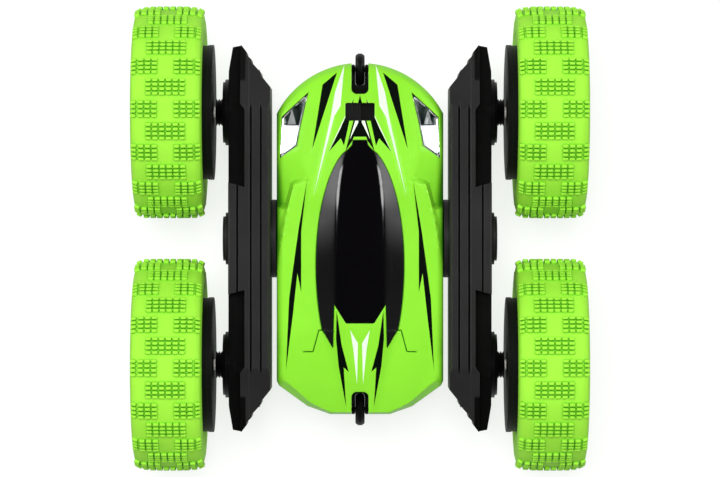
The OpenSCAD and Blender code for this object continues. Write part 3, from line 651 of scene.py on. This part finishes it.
def material(name, color, rough=0.3, metal=0.0, coat=0.0, grain=0.006, grain_size=0.35, dust=0.05, scuff=0.15,
             edge=0.3, edge_r=0.25, vary=0.06, spec=0.5, glow=0.0, clear=0.0, gap_shade=None, gap_shade_r=1.6, near=False,
             sunk_shade=None):
    """A moulded, plated or rubber surface: colour and roughness that drift a little, fine grain, faint scuffs, and
    paler, rounded edges, whose paleness is part wear and part painted highlight. The gap colour is painted shade in
    gaps of about its given radius, counting other pieces if `near`, and the recess colour is painted shade on the
    arm's recessed outside. Sizes are in mm.
    """
    FINISH[name] = bpy.data.materials.new(name)
    n = Nodes(FINISH[name])
    where = n.add("ShaderNodeTexCoord").outputs["Object"]
    wide = n.add("ShaderNodeTexNoise", where, Scale=55.0, Detail=4.0, Roughness=0.55)
    fine = n.add("ShaderNodeTexNoise", where, Scale=500.0 / grain_size, Detail=3.0, Roughness=0.6)
    stretch = n.add("ShaderNodeMapping", where, Scale=(900, 60, 300), Rotation=(0.3, 0.2, 0.7))
    scratch = n.add("ShaderNodeTexNoise", stretch.outputs["Vector"], Scale=1.0, Detail=2.0)
    bsdf = n.add("ShaderNodeBsdfPrincipled")
    darker = tuple(c * (1 - vary) for c in color)
    lighter = tuple(min(1.0, c * (1 + vary) + 0.004 * vary) for c in color)
    base = n.mix(n.ramp(wide.outputs["Fac"], 0.3, 0.7, 0, 1), darker, lighter)
    bump = n.add("ShaderNodeBump", Strength=0.35, Distance=max(grain, 0.002) * MM)
    n.link(fine.outputs["Fac"], bump.inputs["Height"])
    # Paler edges where the rounded normal turns from the face: part wear, part painted highlight
    if edge:
        turned = n.add("ShaderNodeBevel", samples=4, Radius=edge_r * MM).outputs["Normal"]
        flat = n.add("ShaderNodeNewGeometry").outputs["Normal"]
        dot = n.add("ShaderNodeVectorMath", turned, flat, operation="DOT_PRODUCT")
        edge_wear_and_highlight = n.ramp(dot.outputs["Value"], 0.98, 0.8, 0, edge)
        base = n.mix(edge_wear_and_highlight, base, tuple(min(1, c * 1.25 + 0.03) for c in color))
        n.link(turned, bump.inputs["Normal"])
    # Painted shade: the flat floor of the arm's recessed outside, beyond its pivot block, takes a darker colour
    if sunk_shade:
        place = n.add("ShaderNodeSeparateXYZ", where)
        out, along, up = (n.math("ABSOLUTE", place.outputs[axis]) for axis in "XYZ")
        sunk_shade_share = n.ramp(out, SUNK_X * MM, (SUNK_X + 0.05) * MM, 0, 1)
        sunk_shade_share = n.math("MULTIPLY", sunk_shade_share, n.ramp(along, BLOCK_HALF * MM, (BLOCK_HALF + 0.3) * MM, 0, 1))
        sunk_shade_share = n.math("MULTIPLY", sunk_shade_share, n.ramp(up, SUNK_Z * MM, (SUNK_Z + 0.3) * MM, 1, 0))
        base = n.mix(sunk_shade_share, base, sunk_shade)
    # Painted shade: the colour darkens toward the gap colour where ambient occlusion finds gaps and hollows
    if gap_shade:
        open_air = n.add("ShaderNodeAmbientOcclusion", samples=6, only_local=not near, Distance=gap_shade_r * MM)
        base = n.mix(n.ramp(open_air.outputs["AO"], 0.35, 0.8, 0, 1), gap_shade, base)
    scuffs = n.ramp(scratch.outputs["Fac"], 0.66, 0.76, 0, scuff)
    dusty = n.ramp(wide.outputs["Fac"], 0.25, 0.75, rough - dust, rough + dust)
    n.link(base, bsdf.inputs["Base Color"])
    n.link(n.math("ADD", scuffs, dusty, use_clamp=True), bsdf.inputs["Roughness"])
    n.link(bump.outputs["Normal"], bsdf.inputs["Normal"])
    for key, v in (("Metallic", metal), ("Coat Weight", coat), ("Coat Roughness", 0.06), ("Specular IOR Level", spec),
                   ("Transmission Weight", clear)):
        bsdf.inputs[key].default_value = v
    if glow:
        bsdf.inputs["Emission Color"].default_value = (*color, 1)
        bsdf.inputs["Emission Strength"].default_value = glow
    n.add("ShaderNodeOutputMaterial", bsdf.outputs[0])
    return FINISH[name]


# Materials given a gap colour get painted shade in gaps and hollows: the green's scoop and seams, the silver's
# recesses, the gaps between tyre studs, the arm's grooves and the screws' slots
GREEN = material("green_shell", (0.238, 0.7, 0.028), rough=0.32, coat=0.12, spec=0.3, grain=0.003, vary=0.04,
                 gap_shade=(0.02, 0.2, 0.003), gap_shade_r=5.5, near=True)
BLACK_INK = material("black_print", (0.0012, 0.0028, 0.0014), rough=0.5, spec=0.06, grain=0.003, edge=0, vary=0.1)
WHITE_INK = material("white_print", (0.72, 0.84, 0.68), rough=0.45, spec=0.25, grain=0.003, edge=0, vary=0.03)
BLACK = material("black_canopy", (0.002, 0.0017, 0.0022), rough=0.1, coat=0.6, grain=0.001, edge=0.1, scuff=0.1,
                 dust=0.02)
SILVER = material("silver_canopy", (0.6, 0.6, 0.62), rough=0.33, metal=0.55, coat=0.25, grain=0.004, grain_size=0.2,
                  gap_shade=(0.09, 0.09, 0.095), gap_shade_r=1.3, near=True)
LENS = material("clear_lens", (0.97, 0.99, 1.0), rough=0.04, clear=1.0, edge=0, dust=0.02, scuff=0.06, grain=0.001)
REFLECTOR = material("reflector", (0.86, 0.87, 0.9), rough=0.14, metal=1.0, edge=0.2, grain=0.004, dust=0.03)
LAMP = material("lamp_white", (0.95, 0.96, 1.0), glow=0.55, edge=0, grain=0.003)
LAMP_GREY = material("lamp_grey", (0.5, 0.5, 0.51), rough=0.42, metal=0.3, grain=0.003)
LAMP_DARK = material("lamp_dark", (0.02, 0.035, 0.03), rough=0.35, spec=0.25, grain=0.003)
TYRE = material("green_tyre", (0.33, 0.78, 0.052), rough=0.55, grain=0.02, grain_size=0.3, edge_r=0.12, vary=0.05,
                dust=0.08, spec=0.12, gap_shade=(0.055, 0.36, 0.004))
ROLLER = material("black_roller", (0.003, 0.003, 0.003), rough=0.4, spec=0.25, grain=0.004, edge=0.4)
# Near-black colour for the shell screws: painted shade, for screws that sit deep in their holes
SCREW_IN_SHADE = material("black_screw", (0.03, 0.035, 0.03), rough=0.4, metal=0.7, spec=0.3)
# The arm's darker colour for its recessed outside is painted shade
material("black_arm", (0.019, 0.0178, 0.0185), rough=0.36, spec=0.35, grain=0.012, grain_size=0.25, edge=0.8,
         edge_r=0.4, vary=0.12, gap_shade=(0.0006, 0.0005, 0.0006), gap_shade_r=1.8, sunk_shade=(0.0022, 0.002, 0.0022))
material("black_rim", (0.005, 0.005, 0.0053), rough=0.45, spec=0.15, grain=0.012, grain_size=0.25, edge=0.6,
         edge_r=0.3)
material("black_knob", (0.006, 0.006, 0.006), rough=0.38, grain=0.01, edge=0.7, edge_r=0.15)
material("grey_plastic", (0.045, 0.045, 0.047), rough=0.5, grain=0.02, edge=0.5)
material("white_nylon", (0.78, 0.76, 0.68), rough=0.42)
material("board_green", (0.008, 0.085, 0.025), rough=0.35, coat=0.3, grain=0.02)
material("screw_steel", (0.42, 0.42, 0.44), metal=1.0, edge=0.5, gap_shade=(0.02, 0.02, 0.022), gap_shade_r=1.0)
material("shaft_steel", (0.56, 0.56, 0.58), rough=0.22, metal=1.0, grain=0.003)
material("motor_can", (0.5, 0.5, 0.5), metal=1.0)
material("switch_steel", (0.55, 0.55, 0.56), rough=0.32, metal=1.0)
material("pinion_brass", (0.7, 0.47, 0.16), rough=0.28, metal=1.0, grain=0.004)
material("battery_wrap", (0.012, 0.07, 0.34), rough=0.28, coat=0.2)

# ---------------------------------------------------------------- body shells and battery cover

HEADLIGHTS = [HEADLIGHT, flipped(HEADLIGHT)]
SLOTS = [FRONT_SLOT, REAR_SLOT]
PANEL_LINES = [PANEL_LINE, flipped(PANEL_LINE)]
CANOPY = canopy_outline()
ALL_SCREWS = [(s * x, y) for x, y in SCREW_SPOTS for s in (1, -1)]
SCREW_HOLES = [circle(x, y, 2.15) for x, y in ALL_SCREWS]
PRINTS_BLACK = BLACK_PRINT + [flipped(p) for p in BLACK_PRINT] + [ARROW]
PRINTS_WHITE = WHITE_PRINT + [flipped(p) for p in WHITE_PRINT]
# Silver part of the battery cover, in line with the canopy's flat strip
TRIM = [(7.38, -16.2), (7.38, -22.35), (4.8, -30.0), (-4.8, -30.0), (-7.38, -22.35), (-7.38, -16.2)]
COVER = cover_outline(0.13)
COVER_HOLE = cover_outline()
COVER_GAP = 0.22  # between the silver canopy and the cover's tab
# Groove across each wing of the canopy, beside the tail
WING_LINE = [(8.6, -31.2), (12.9, -30.8)]
WING_LINES = [WING_LINE, flipped(WING_LINE)]
NECK_BAR = rectangle(-2.0, 2.0, 33.5, 34.3)


def any_inside(outlines, x, y):
    hit = np.zeros(np.shape(x), bool)
    for o in outlines:
        hit |= inside(o, x, y)
    return hit


def printed(x, y):
    """0 on bare green, 1 on black print, 2 on white print."""
    ink = np.where(any_inside(PRINTS_BLACK, x, y), 1, 0)
    ink = np.where(any_inside(PRINTS_WHITE, x, y), 2, ink)
    return np.where(inside(NECK_BAR, x, y), 0, ink)


def shell(name, side):
    holes = [CANOPY] + HEADLIGHTS + ([SWITCH_SLOT] if side > 0 else [COVER_HOLE] + SCREW_HOLES)

    def keep(x, y):
        return np.where(inside(PLAN_TOP, x, y) & ~any_inside(holes + SLOTS, x, y), printed(x, y), -1)

    return sheet(name, body_height, keep, [GREEN, BLACK_INK, WHITE_INK], holes + SLOTS,
                 PRINTS_BLACK + PRINTS_WHITE + [NECK_BAR], PANEL_LINES if side > 0 else [], BODY_CREASES,
                 wall=PLAN_TOP, side=side)


def cover_top(x, y):
    """Height of the battery cover, whose tab and wings carry on the silver canopy."""
    trim = inside([(a * 1.002, b) for a, b in CANOPY], x, y) & (np.abs(x) > 8.7) | inside(TRIM, x, y)
    for o in (TRIM, CANOPY):
        trim |= distance(o, x, y) < 0.03
    return np.where(trim, np.maximum(canopy_height(x, y), body_height(x, y) + 0.15), body_height(x, y))


def battery_cover_piece():
    hole = circle(0, SCREW_Y, 2.45)

    def keep(x, y):
        silver = inside(TRIM, x, y) | (inside(CANOPY, x, y) & (np.abs(x) > 8.74))
        index = np.where(silver, 3, printed(x, y))
        return np.where(inside(COVER, x, y) & ~inside(hole, x, y), index, -1)

    skin = sheet("cover_skin", cover_top, keep, [GREEN, BLACK_INK, WHITE_INK, SILVER], [COVER, hole],
                 PRINTS_BLACK + PRINTS_WHITE + [TRIM, CANOPY], PANEL_LINES + WING_LINES, BODY_CREASES, thickness=1.5,
                 side=-1)
    top = float(cover_top(0.0, SCREW_Y)) - 0.35
    seat = lathe("screw_seat", [(2.45, top), (2.45, 18.95), (1.2, 18.95), (1.2, 17.4), (3.6, 17.4), (3.6, top)],
                 SILVER, 40, (0, SCREW_Y, 0), "Z")
    ribs = [prism("cover_rib", rectangle(x - 0.5, x + 0.5, -46.5, -30.5), 13.6, lambda a, b: body_height(a, b) - 1.2,
                  GREEN) for x in (-16, 16)]
    return join([skin] + [flip_z(o) for o in [seat] + ribs], "battery_cover_skin")


def canopy(name, side, mat):
    front, tab, hw = COVER_FRONT + 0.12, TAB_FRONT + COVER_GAP, TAB_HW + COVER_GAP

    def keep(x, y):
        ok = inside(CANOPY_EDGE, x, y)
        if side < 0:
            ok &= (y > front) & ~((np.abs(x) < hw) & (y < tab)) & ~inside(FINGER, x, y)
        return np.where(ok, 0, -1)

    rear = rounded([(20, front), (hw, front), (hw, tab), (-hw, tab), (-hw, front), (-20, front), (-20, -60),
                    (20, -60)], [0, 0, 0.9, 0.9, 0, 0, 0, 0])
    edges, lines = ([], WING_LINES) if side > 0 else ([FINGER, rear], [])
    return sheet(name, canopy_height, keep, [mat], edges, [], lines, canopy_creases(), wall=CANOPY_EDGE, wall_z=13.0,
                 flare=(1, 1), side=side)


def recess_tray():
    """The finger recess in the silver canopy: a stepped tray with a tongue."""
    floor = prism("tray", rounded(rectangle(-5.6, 5.6, -11.3, -4.2), [0, 0, 3.6, 3.6], 7), 17.6, 18.6, SILVER)
    lip = ring_prism("tray_lip", FINGER[2:], 18.5, 20.3, 0.55, SILVER)
    tongue = prism("tongue", rounded(rectangle(-3.1, 3.1, -11.5, -7.6), [0.3, 0.3, 0.9, 0.9]), 18.5, 19.75, SILVER,
                   bevel=0.3)
    return join([flip_z(o) for o in (floor, lip, tongue)], "recess_tray")


def ring_prism(name, points, z0, z1, width, mat):
    """An upright band along an open line, width thick on its right-hand side."""
    p = np.array(points)
    t = np.gradient(p, axis=0)
    n = np.stack([t[:, 1], -t[:, 0]], 1) / np.linalg.norm(t, axis=1)[:, None]
    return prism(name, [*p, *(p + n * width)[::-1]], z0, z1, mat)


def fix_normals(obj):
    bm = bmesh.new()
    bm.from_mesh(obj.data)
    bmesh.ops.recalc_face_normals(bm, faces=bm.faces)
    bm.to_mesh(obj.data)
    bm.free()


def band_prism(name, outer, inner, z0, z1, mat):
    """An upright tube between two outlines with as many points each; z0 and z1 may be functions of x and y."""
    pts = [*outer, *inner]
    n = len(outer)

    def level(z):
        return [(*p, float(z(*p)) if callable(z) else z) for p in pts]

    verts = level(z0) + level(z1)
    faces = []
    for i in range(n):
        j = (i + 1) % n
        faces += [(i, j, 2 * n + j, 2 * n + i), (n + j, n + i, 3 * n + i, 3 * n + j),
                  (2 * n + i, 2 * n + j, 3 * n + j, 3 * n + i), (j, i, n + i, n + j)]
    obj = make_object(name, verts, faces, [mat])
    fix_normals(obj)
    return obj


def scaled(points, k):
    c = np.mean(points, axis=0)
    return [tuple(c + (np.array(p) - c) * k) for p in points]


def headlight_lens(outline, side):
    edge = scaled(outline, 0.985)

    def height(x, y):
        return body_height(x, y) - crest_bump(x, y) - 0.1

    def keep(x, y):
        return np.where(inside(edge, x, y), 0, -1)

    return sheet("lens", height, keep, [LENS], [edge], thickness=0.8, side=side)


def headlight_unit(outline, side):
    """Tub under the lens: a white lamp behind, and a dark front with a grey wedge. On the silver face the white part
    fills it all, and a plated cup stands at the rear.
    """
    s = 1 if outline[0][0] > 0 else -1
    edge = scaled(outline, 1.02)
    wedge = [(s * 21.6, 38.7), (s * 24.6, 38.7), (s * 23.0, 43.8)]
    lamp_end = 38.3 if side > 0 else 50.5

    def height(x, y):
        bowl = 12.4 - 0.05 * (np.abs(x) - 24) ** 2 + 0.005 * (y - 33) ** 2
        ridge = 11.2 + 1.7 * np.clip(1 - np.abs(np.abs(x) - 22.6) / 2.2, 0, 1)
        return np.where(y < lamp_end + 0.02, bowl, ridge)

    def keep(x, y):
        index = np.where(y < lamp_end, 1, np.where(inside(wedge, x, y), 0, 2))
        return np.where(inside(edge, x, y), index, -1)

    split = rectangle(s * 18, s * 28, lamp_end, lamp_end + 0.3)
    floor = sheet("lamp_floor", height, keep, [LAMP_GREY, LAMP, LAMP_DARK], [edge], [wedge, split], thickness=0.8,
                  rim=False)
    outer = densify(scaled(outline, 1.05), 1.0)
    inner = [p + (np.mean(outline, axis=0) - p) * 0.06 for p in outer]
    wall = band_prism("lamp_wall", outer, inner, 9.0, lambda a, b: body_height(a, b) - 1.35, LAMP_DARK)
    if side > 0:
        return [floor, wall]
    cup = lathe("cup", [(1.15, 11.9), (1.3, 13.6), (2.15, 14.1), (2.2, 13.9), (1.5, 13.3), (1.4, 11.9)], REFLECTOR,
                32, (s * 24.6, 33.6, 0), "Z")
    return [flip_z(o) for o in (floor, wall, cup)]


def inner_bridge():
    """Bridge under the finger recess of the silver face: boss of the cover screw, risers, and walls of the hollow."""
    def box(x0, x1, y0, y1, z0, z1):
        return prism("box", rectangle(x0, x1, y0, y1), z0, z1, GREEN, bevel=0.15, segments=1)

    parts = [box(-19, 19, -21.6, TAB_FRONT, 8.4, 11), box(15.1, 19, -21.4, TAB_FRONT - 0.2, 10.8, 15.4),
             box(-19, -15.1, -21.4, TAB_FRONT - 0.2, 10.8, 15.4), box(-6, 6, -22, TAB_FRONT - 0.3, 8.3, 15.2),
             box(-6, 6, TAB_FRONT - 0.2, -4, 9.9, 11),
             band_prism("hollow", rectangle(-6.2, 6.2, -16.05, -4.3), rectangle(-5.2, 5.2, -15.95, -11.2), 10.8, 17.5,
                        GREEN)]
    return join([flip_z(p) for p in parts], "inner_bridge")


def screw_tubes():
    """Deep holes of the shell screws, each in a tube that stays inside the body."""
    tubes, limit = [], plan_outline(0.8)
    for x, y in ALL_SCREWS:
        outer = []
        for a in ROUND_ANGLES:
            r = 3.0
            while r > 2.4 and not inside(limit, x + r * math.cos(a), y + r * math.sin(a)):
                r -= 0.1
            outer.append((x + r * math.cos(a), y + r * math.sin(a)))
        low = min(float(body_height(a, b)) for a, b in outer)
        for hole, z0, z1 in ((2.16, 4.9, low - 0.4), (1.15, 3.0, 5.0)):
            tubes.append(band_prism("tube", outer, circle(x, y, hole), z0, z1, GREEN))
    return join([flip_z(t) for t in tubes], "screw_tubes")


def roller_shade_plates():
    """Thin black plates in the middle of each slot that close the gap round the roller: painted shade, a dark sheet
    for the shaded inside of the slot.
    """
    shade_plates = []
    half = [(1.63, 1.4), (1.63, -4.3), (1.53, -4.95), (0.62, -5.53), (0, -5.53), (0, -5.9), (1.95, -5.9), (1.95, 1.4)]
    for end, axle in ((1, 57.9), (-1, 58.5)):
        for s in (1, -1):
            shade_plates.append(prism("shade_plate", [(s * x, end * (axle + y)) for x, y in half], -0.5, 0.5, ROLLER))
    return join(shade_plates, "roller_shade_plates")


# ---------------------------------------------------------------- tyres

TREAD_ROWS = 30  # by turns two blocks of 4 x 4 studs at the sides and one of 6 x 4 in the middle
STUD_PITCH_X, STUD_PITCH_Y = 2.27, 1.57
STUD_HX, STUD_HY = 0.95, 0.56  # half sizes of a stud, whose corners are cut off by STUD_CUT
STUD_CUT = 0.22
STUD_LEVELS = ((-0.5, -0.02), (0.72, 0.03), (0.9, 0.1), (0.975, 0.26))  # height over the crown, and inset there
SIDE_BLOCK_X = 7.1  # middle of a side block
CROWN_R = 35.3


def crown(x):
    """Radius of the tyre's surface under the studs, at x from its middle."""
    ax = np.abs(x)
    return CROWN_R - 0.0016 * ax**2 - 1.0 * np.clip((ax - 8.8) / 2.3, 0, 1.6) ** 2.2


def tyre_mesh():
    """One tyre with its studs, standing in the middle of the car."""
    flank = [(34.1, 11.25), (33.2, 11.62), (32.0, 11.88), (31.2, 11.98), (30.7, 11.78), (30.2, 11.98), (28.6, 11.9),
             (27.2, 11.7), (26.8, 11.4), (26.3, 11.62), (25.0, 11.3), (23.8, 10.9), (23.0, 10.3)]
    tread = [(float(crown(x)), x) for x in np.linspace(10.7, -10.7, 33)]
    inner = [(23.0, -8.6), (25.0, -9.0), (27.0, -9.6), (31.0, -9.9), (33.3, -8.0)]
    profile = flank[::-1] + tread + [(r, -x) for r, x in flank] + inner + [(r, -x) for r, x in inner[::-1]]
    carcass = lathe("carcass", profile, TYRE, 120, sharp=40)
    fix_normals(carcass)
    verts, faces = [], []
    for k in range(TREAD_ROWS):
        if k % 2 == 0:
            xs = [s * SIDE_BLOCK_X + (i - 1.5) * STUD_PITCH_X for s in (-1, 1) for i in range(4)]
        else:
            xs = [(i - 2.5) * STUD_PITCH_X for i in range(6)]
        turns = [2 * math.pi * k / TREAD_ROWS + (j - 1.5) * STUD_PITCH_Y / TYRE_R for j in range(4)]
        for turn, x in product(turns, xs):
            r = float(crown(x))
            lean = math.atan(float(crown(x + 0.3) - crown(x - 0.3)) / 0.6) * 0.7
            first = len(verts)
            for h, inset in STUD_LEVELS:
                a, b, c = STUD_HX - inset, STUD_HY - inset, STUD_CUT
                for u, v in ((a, b - c), (a - c, b), (c - a, b), (-a, b - c), (-a, c - b), (c - a, -b), (a - c, -b),
                             (a, c - b)):
                    px = x + u * math.cos(lean) - h * math.sin(lean)
                    pr = r + h * math.cos(lean) + u * math.sin(lean)
                    verts.append((px, -pr * math.sin(turn) - v * math.cos(turn),
                                  pr * math.cos(turn) - v * math.sin(turn)))
            for a in range(first, first + 24, 8):
                faces += [(a + i, a + i + 8, a + (i + 1) % 8 + 8, a + (i + 1) % 8) for i in range(8)]
            faces += [tuple(first + 24 + i for i in range(7, -1, -1)), tuple(first + i for i in range(8))]
    studs = make_object("studs", verts, faces, [TYRE], sharp=50)
    fix_normals(studs)
    return join([carcass, studs], "tyre_form")


# ---------------------------------------------------------------- build the pieces


def put(obj, body, slot, *nodes):
    """Hands a piece over to its body, in place of the CAD nodes named."""
    if nodes:
        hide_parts(*nodes)
    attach(obj, body)


HEADLIGHT_SPOTS = [(outline, side) for outline in HEADLIGHTS for side in (1, -1)]
put(shell("upper_shell_skin", 1), "chassis", "green_shell", "upper_shell")
put(shell("lower_shell_skin", -1), "chassis", "green_shell", "lower_shell")
put(canopy("upper_canopy_skin", 1, BLACK), "chassis", "black_canopy", "upper_canopy")
put(join([canopy("lower_canopy_skin", -1, SILVER), recess_tray()], "lower_canopy_skin"), "chassis", "silver_canopy",
    "lower_canopy")
put(battery_cover_piece(), "battery_door", "green_shell", "battery_cover")
put(join([headlight_lens(*spot) for spot in HEADLIGHT_SPOTS], "headlight_lens_set"), "chassis", "clear_lens",
    "headlight_lenses")
put(join([part for spot in HEADLIGHT_SPOTS for part in headlight_unit(*spot)], "headlight_unit_set"), "chassis",
    "reflector", "headlight_units")
put(screw_tubes(), "chassis", "green_shell")
# Black plates in the roller slots: painted shade
put(roller_shade_plates(), "chassis", "black_roller")
put(inner_bridge(), "chassis", "green_shell")

form = tyre_mesh()
for side, x in (("left", -TYRE_X), ("right", TYRE_X)):
    for end, y in (("front", AXLE_Y), ("rear", -AXLE_Y)):
        mesh = form.data.copy()
        mesh.transform(Matrix.Translation((x * MM, y * MM, 0)))
        shade(mesh, 50)
        tyre = add_object(f"{side}_{end}_tyre_skin", mesh)
        put(tyre, f"{side}_{end}_wheel", "green_tyre", f"{side}_{end}_tyre")
bpy.data.objects.remove(form)

# ---------------------------------------------------------------- finishes of the CAD nodes

slot_of = {part["node"]: part["material_slot"] for part in frame["record"]["subparts"]}
for name, obj in frame["nodes"].items():
    if not obj.material_slots:
        obj.data.materials.append(None)
    for material_slot in obj.material_slots:
        # The shell screws take the near-black colour, painted shade for their deep holes
        material_slot.material = SCREW_IN_SHADE if name == "shell_screws" else FINISH[slot_of[name]]

# ---------------------------------------------------------------- floor, light and camera

scene = bpy.context.scene
scene.view_settings.view_transform = "Standard"
FLOOR_GLOW = 0.74  # as the camera sees it
FLOOR_LIGHT = 0.3  # as the car is lit by it
FLOOR_HALF = 3000.0  # mm
ROOM_TOP = 0.9  # slope from which the room is as overhead
ROOM_LIGHT = (0.12, 0.5)  # strength of the room's light, level and overhead
ROOM_GLOSS = (0.24, 0.003)  # the same for reflections
# Soft boxes for reflections, on both sides: direction, its cosine where they fade out and where they are full, and
# strength. The low one fades along the canopy's sides, and only the canopy's crease catches the high one
SOFT_BOXES = [((0.80, 0.43, 0.42), 0.90, 1.0, 2.7), ((0.538, 0.287, 0.793), 0.978, 0.993, 7.0)]

# A white floor that shines by itself, so that shadows and tints on it stay faint. It can be seen and lit through
# from below
floor_look = bpy.data.materials.new("floor")
n = Nodes(floor_look)
path = n.add("ShaderNodeLightPath").outputs
shine = n.add("ShaderNodeBsdfPrincipled", Roughness=0.9)
for key, value in (("Base Color", (0.3, 0.3, 0.3, 1)), ("Specular IOR Level", 0.0), ("Emission Color", (1, 1, 1, 1))):
    shine.inputs[key].default_value = value
n.link(n.ramp(path["Is Camera Ray"], 0, 1, FLOOR_LIGHT, FLOOR_GLOW), shine.inputs["Emission Strength"])
below = n.math("MAXIMUM", n.add("ShaderNodeNewGeometry").outputs["Backfacing"], path["Is Shadow Ray"])
under = n.add("ShaderNodeMixShader", below, shine.outputs[0], n.add("ShaderNodeBsdfTransparent").outputs[0])
n.add("ShaderNodeOutputMaterial", under.outputs[0])
corners = rectangle(-FLOOR_HALF, FLOOR_HALF, -FLOOR_HALF, FLOOR_HALF)
make_object("floor", [(x, y, FLOOR_Z) for x, y in corners], [(0, 1, 2, 3)], [floor_look])

# An even, soft room. Reflections see a darker one, with the soft boxes
scene.world = bpy.data.worlds.new("studio")
n = Nodes(scene.world)
x, y, z = n.add("ShaderNodeSeparateXYZ", n.add("ShaderNodeTexCoord").outputs["Generated"]).outputs
folded = n.add("ShaderNodeCombineXYZ", n.math("ABSOLUTE", x), y, z).outputs[0]
glossy = n.ramp(z, 0.0, ROOM_TOP, *ROOM_GLOSS, "SMOOTHSTEP")
for direction, faded, full, strength in SOFT_BOXES:
    dot = n.add("ShaderNodeVectorMath", folded, operation="DOT_PRODUCT")
    dot.inputs[1].default_value = direction
    glossy = n.math("ADD", glossy, n.ramp(dot.outputs["Value"], faded, full, 0.0, strength, "SMOOTHSTEP"))
pick = n.add("ShaderNodeMix")
n.link(n.add("ShaderNodeLightPath").outputs["Is Glossy Ray"], pick.inputs["Factor"])
n.link(n.ramp(z, 0.0, ROOM_TOP, *ROOM_LIGHT, "SMOOTHSTEP"), pick.inputs["A"])
n.link(glossy, pick.inputs["B"])
n.add("ShaderNodeOutputWorld", n.add("ShaderNodeBackground", pick.outputs[0]).outputs[0])


def area(name, at, size, power):
    light = bpy.data.lights.new(name, "AREA")
    light.shape = "RECTANGLE"
    light.size, light.size_y = size
    light.energy = power
    obj = add_object(name, light)
    obj.location = at
    obj.rotation_euler = (-Vector(at)).to_track_quat("-Z", "Y").to_euler()
    obj.visible_glossy = False


area("key", (-0.1, 0.24, 1.6), (0.7, 0.7), 22.5)
area("left_box", (-1.2, 0.3, 0.7), (0.4, 0.9), 3.0)
area("right_box", (1.2, 0.3, 0.7), (0.4, 0.9), 2.5)
area("fill_below", (0.1, 0.24, -1.6), (0.7, 0.7), 12.0)

DISTANCE = 1.3
FIELD = 0.2467  # width of the picture at the car's middle plane
SENSOR = 36
camera = add_object("camera", bpy.data.cameras.new("camera"))
camera.data.sensor_width = SENSOR
camera.data.lens = SENSOR * DISTANCE / FIELD
camera.data.clip_start, camera.data.clip_end = 0.01, 20
camera.location = (0, 0, DISTANCE)
scene.camera = camera
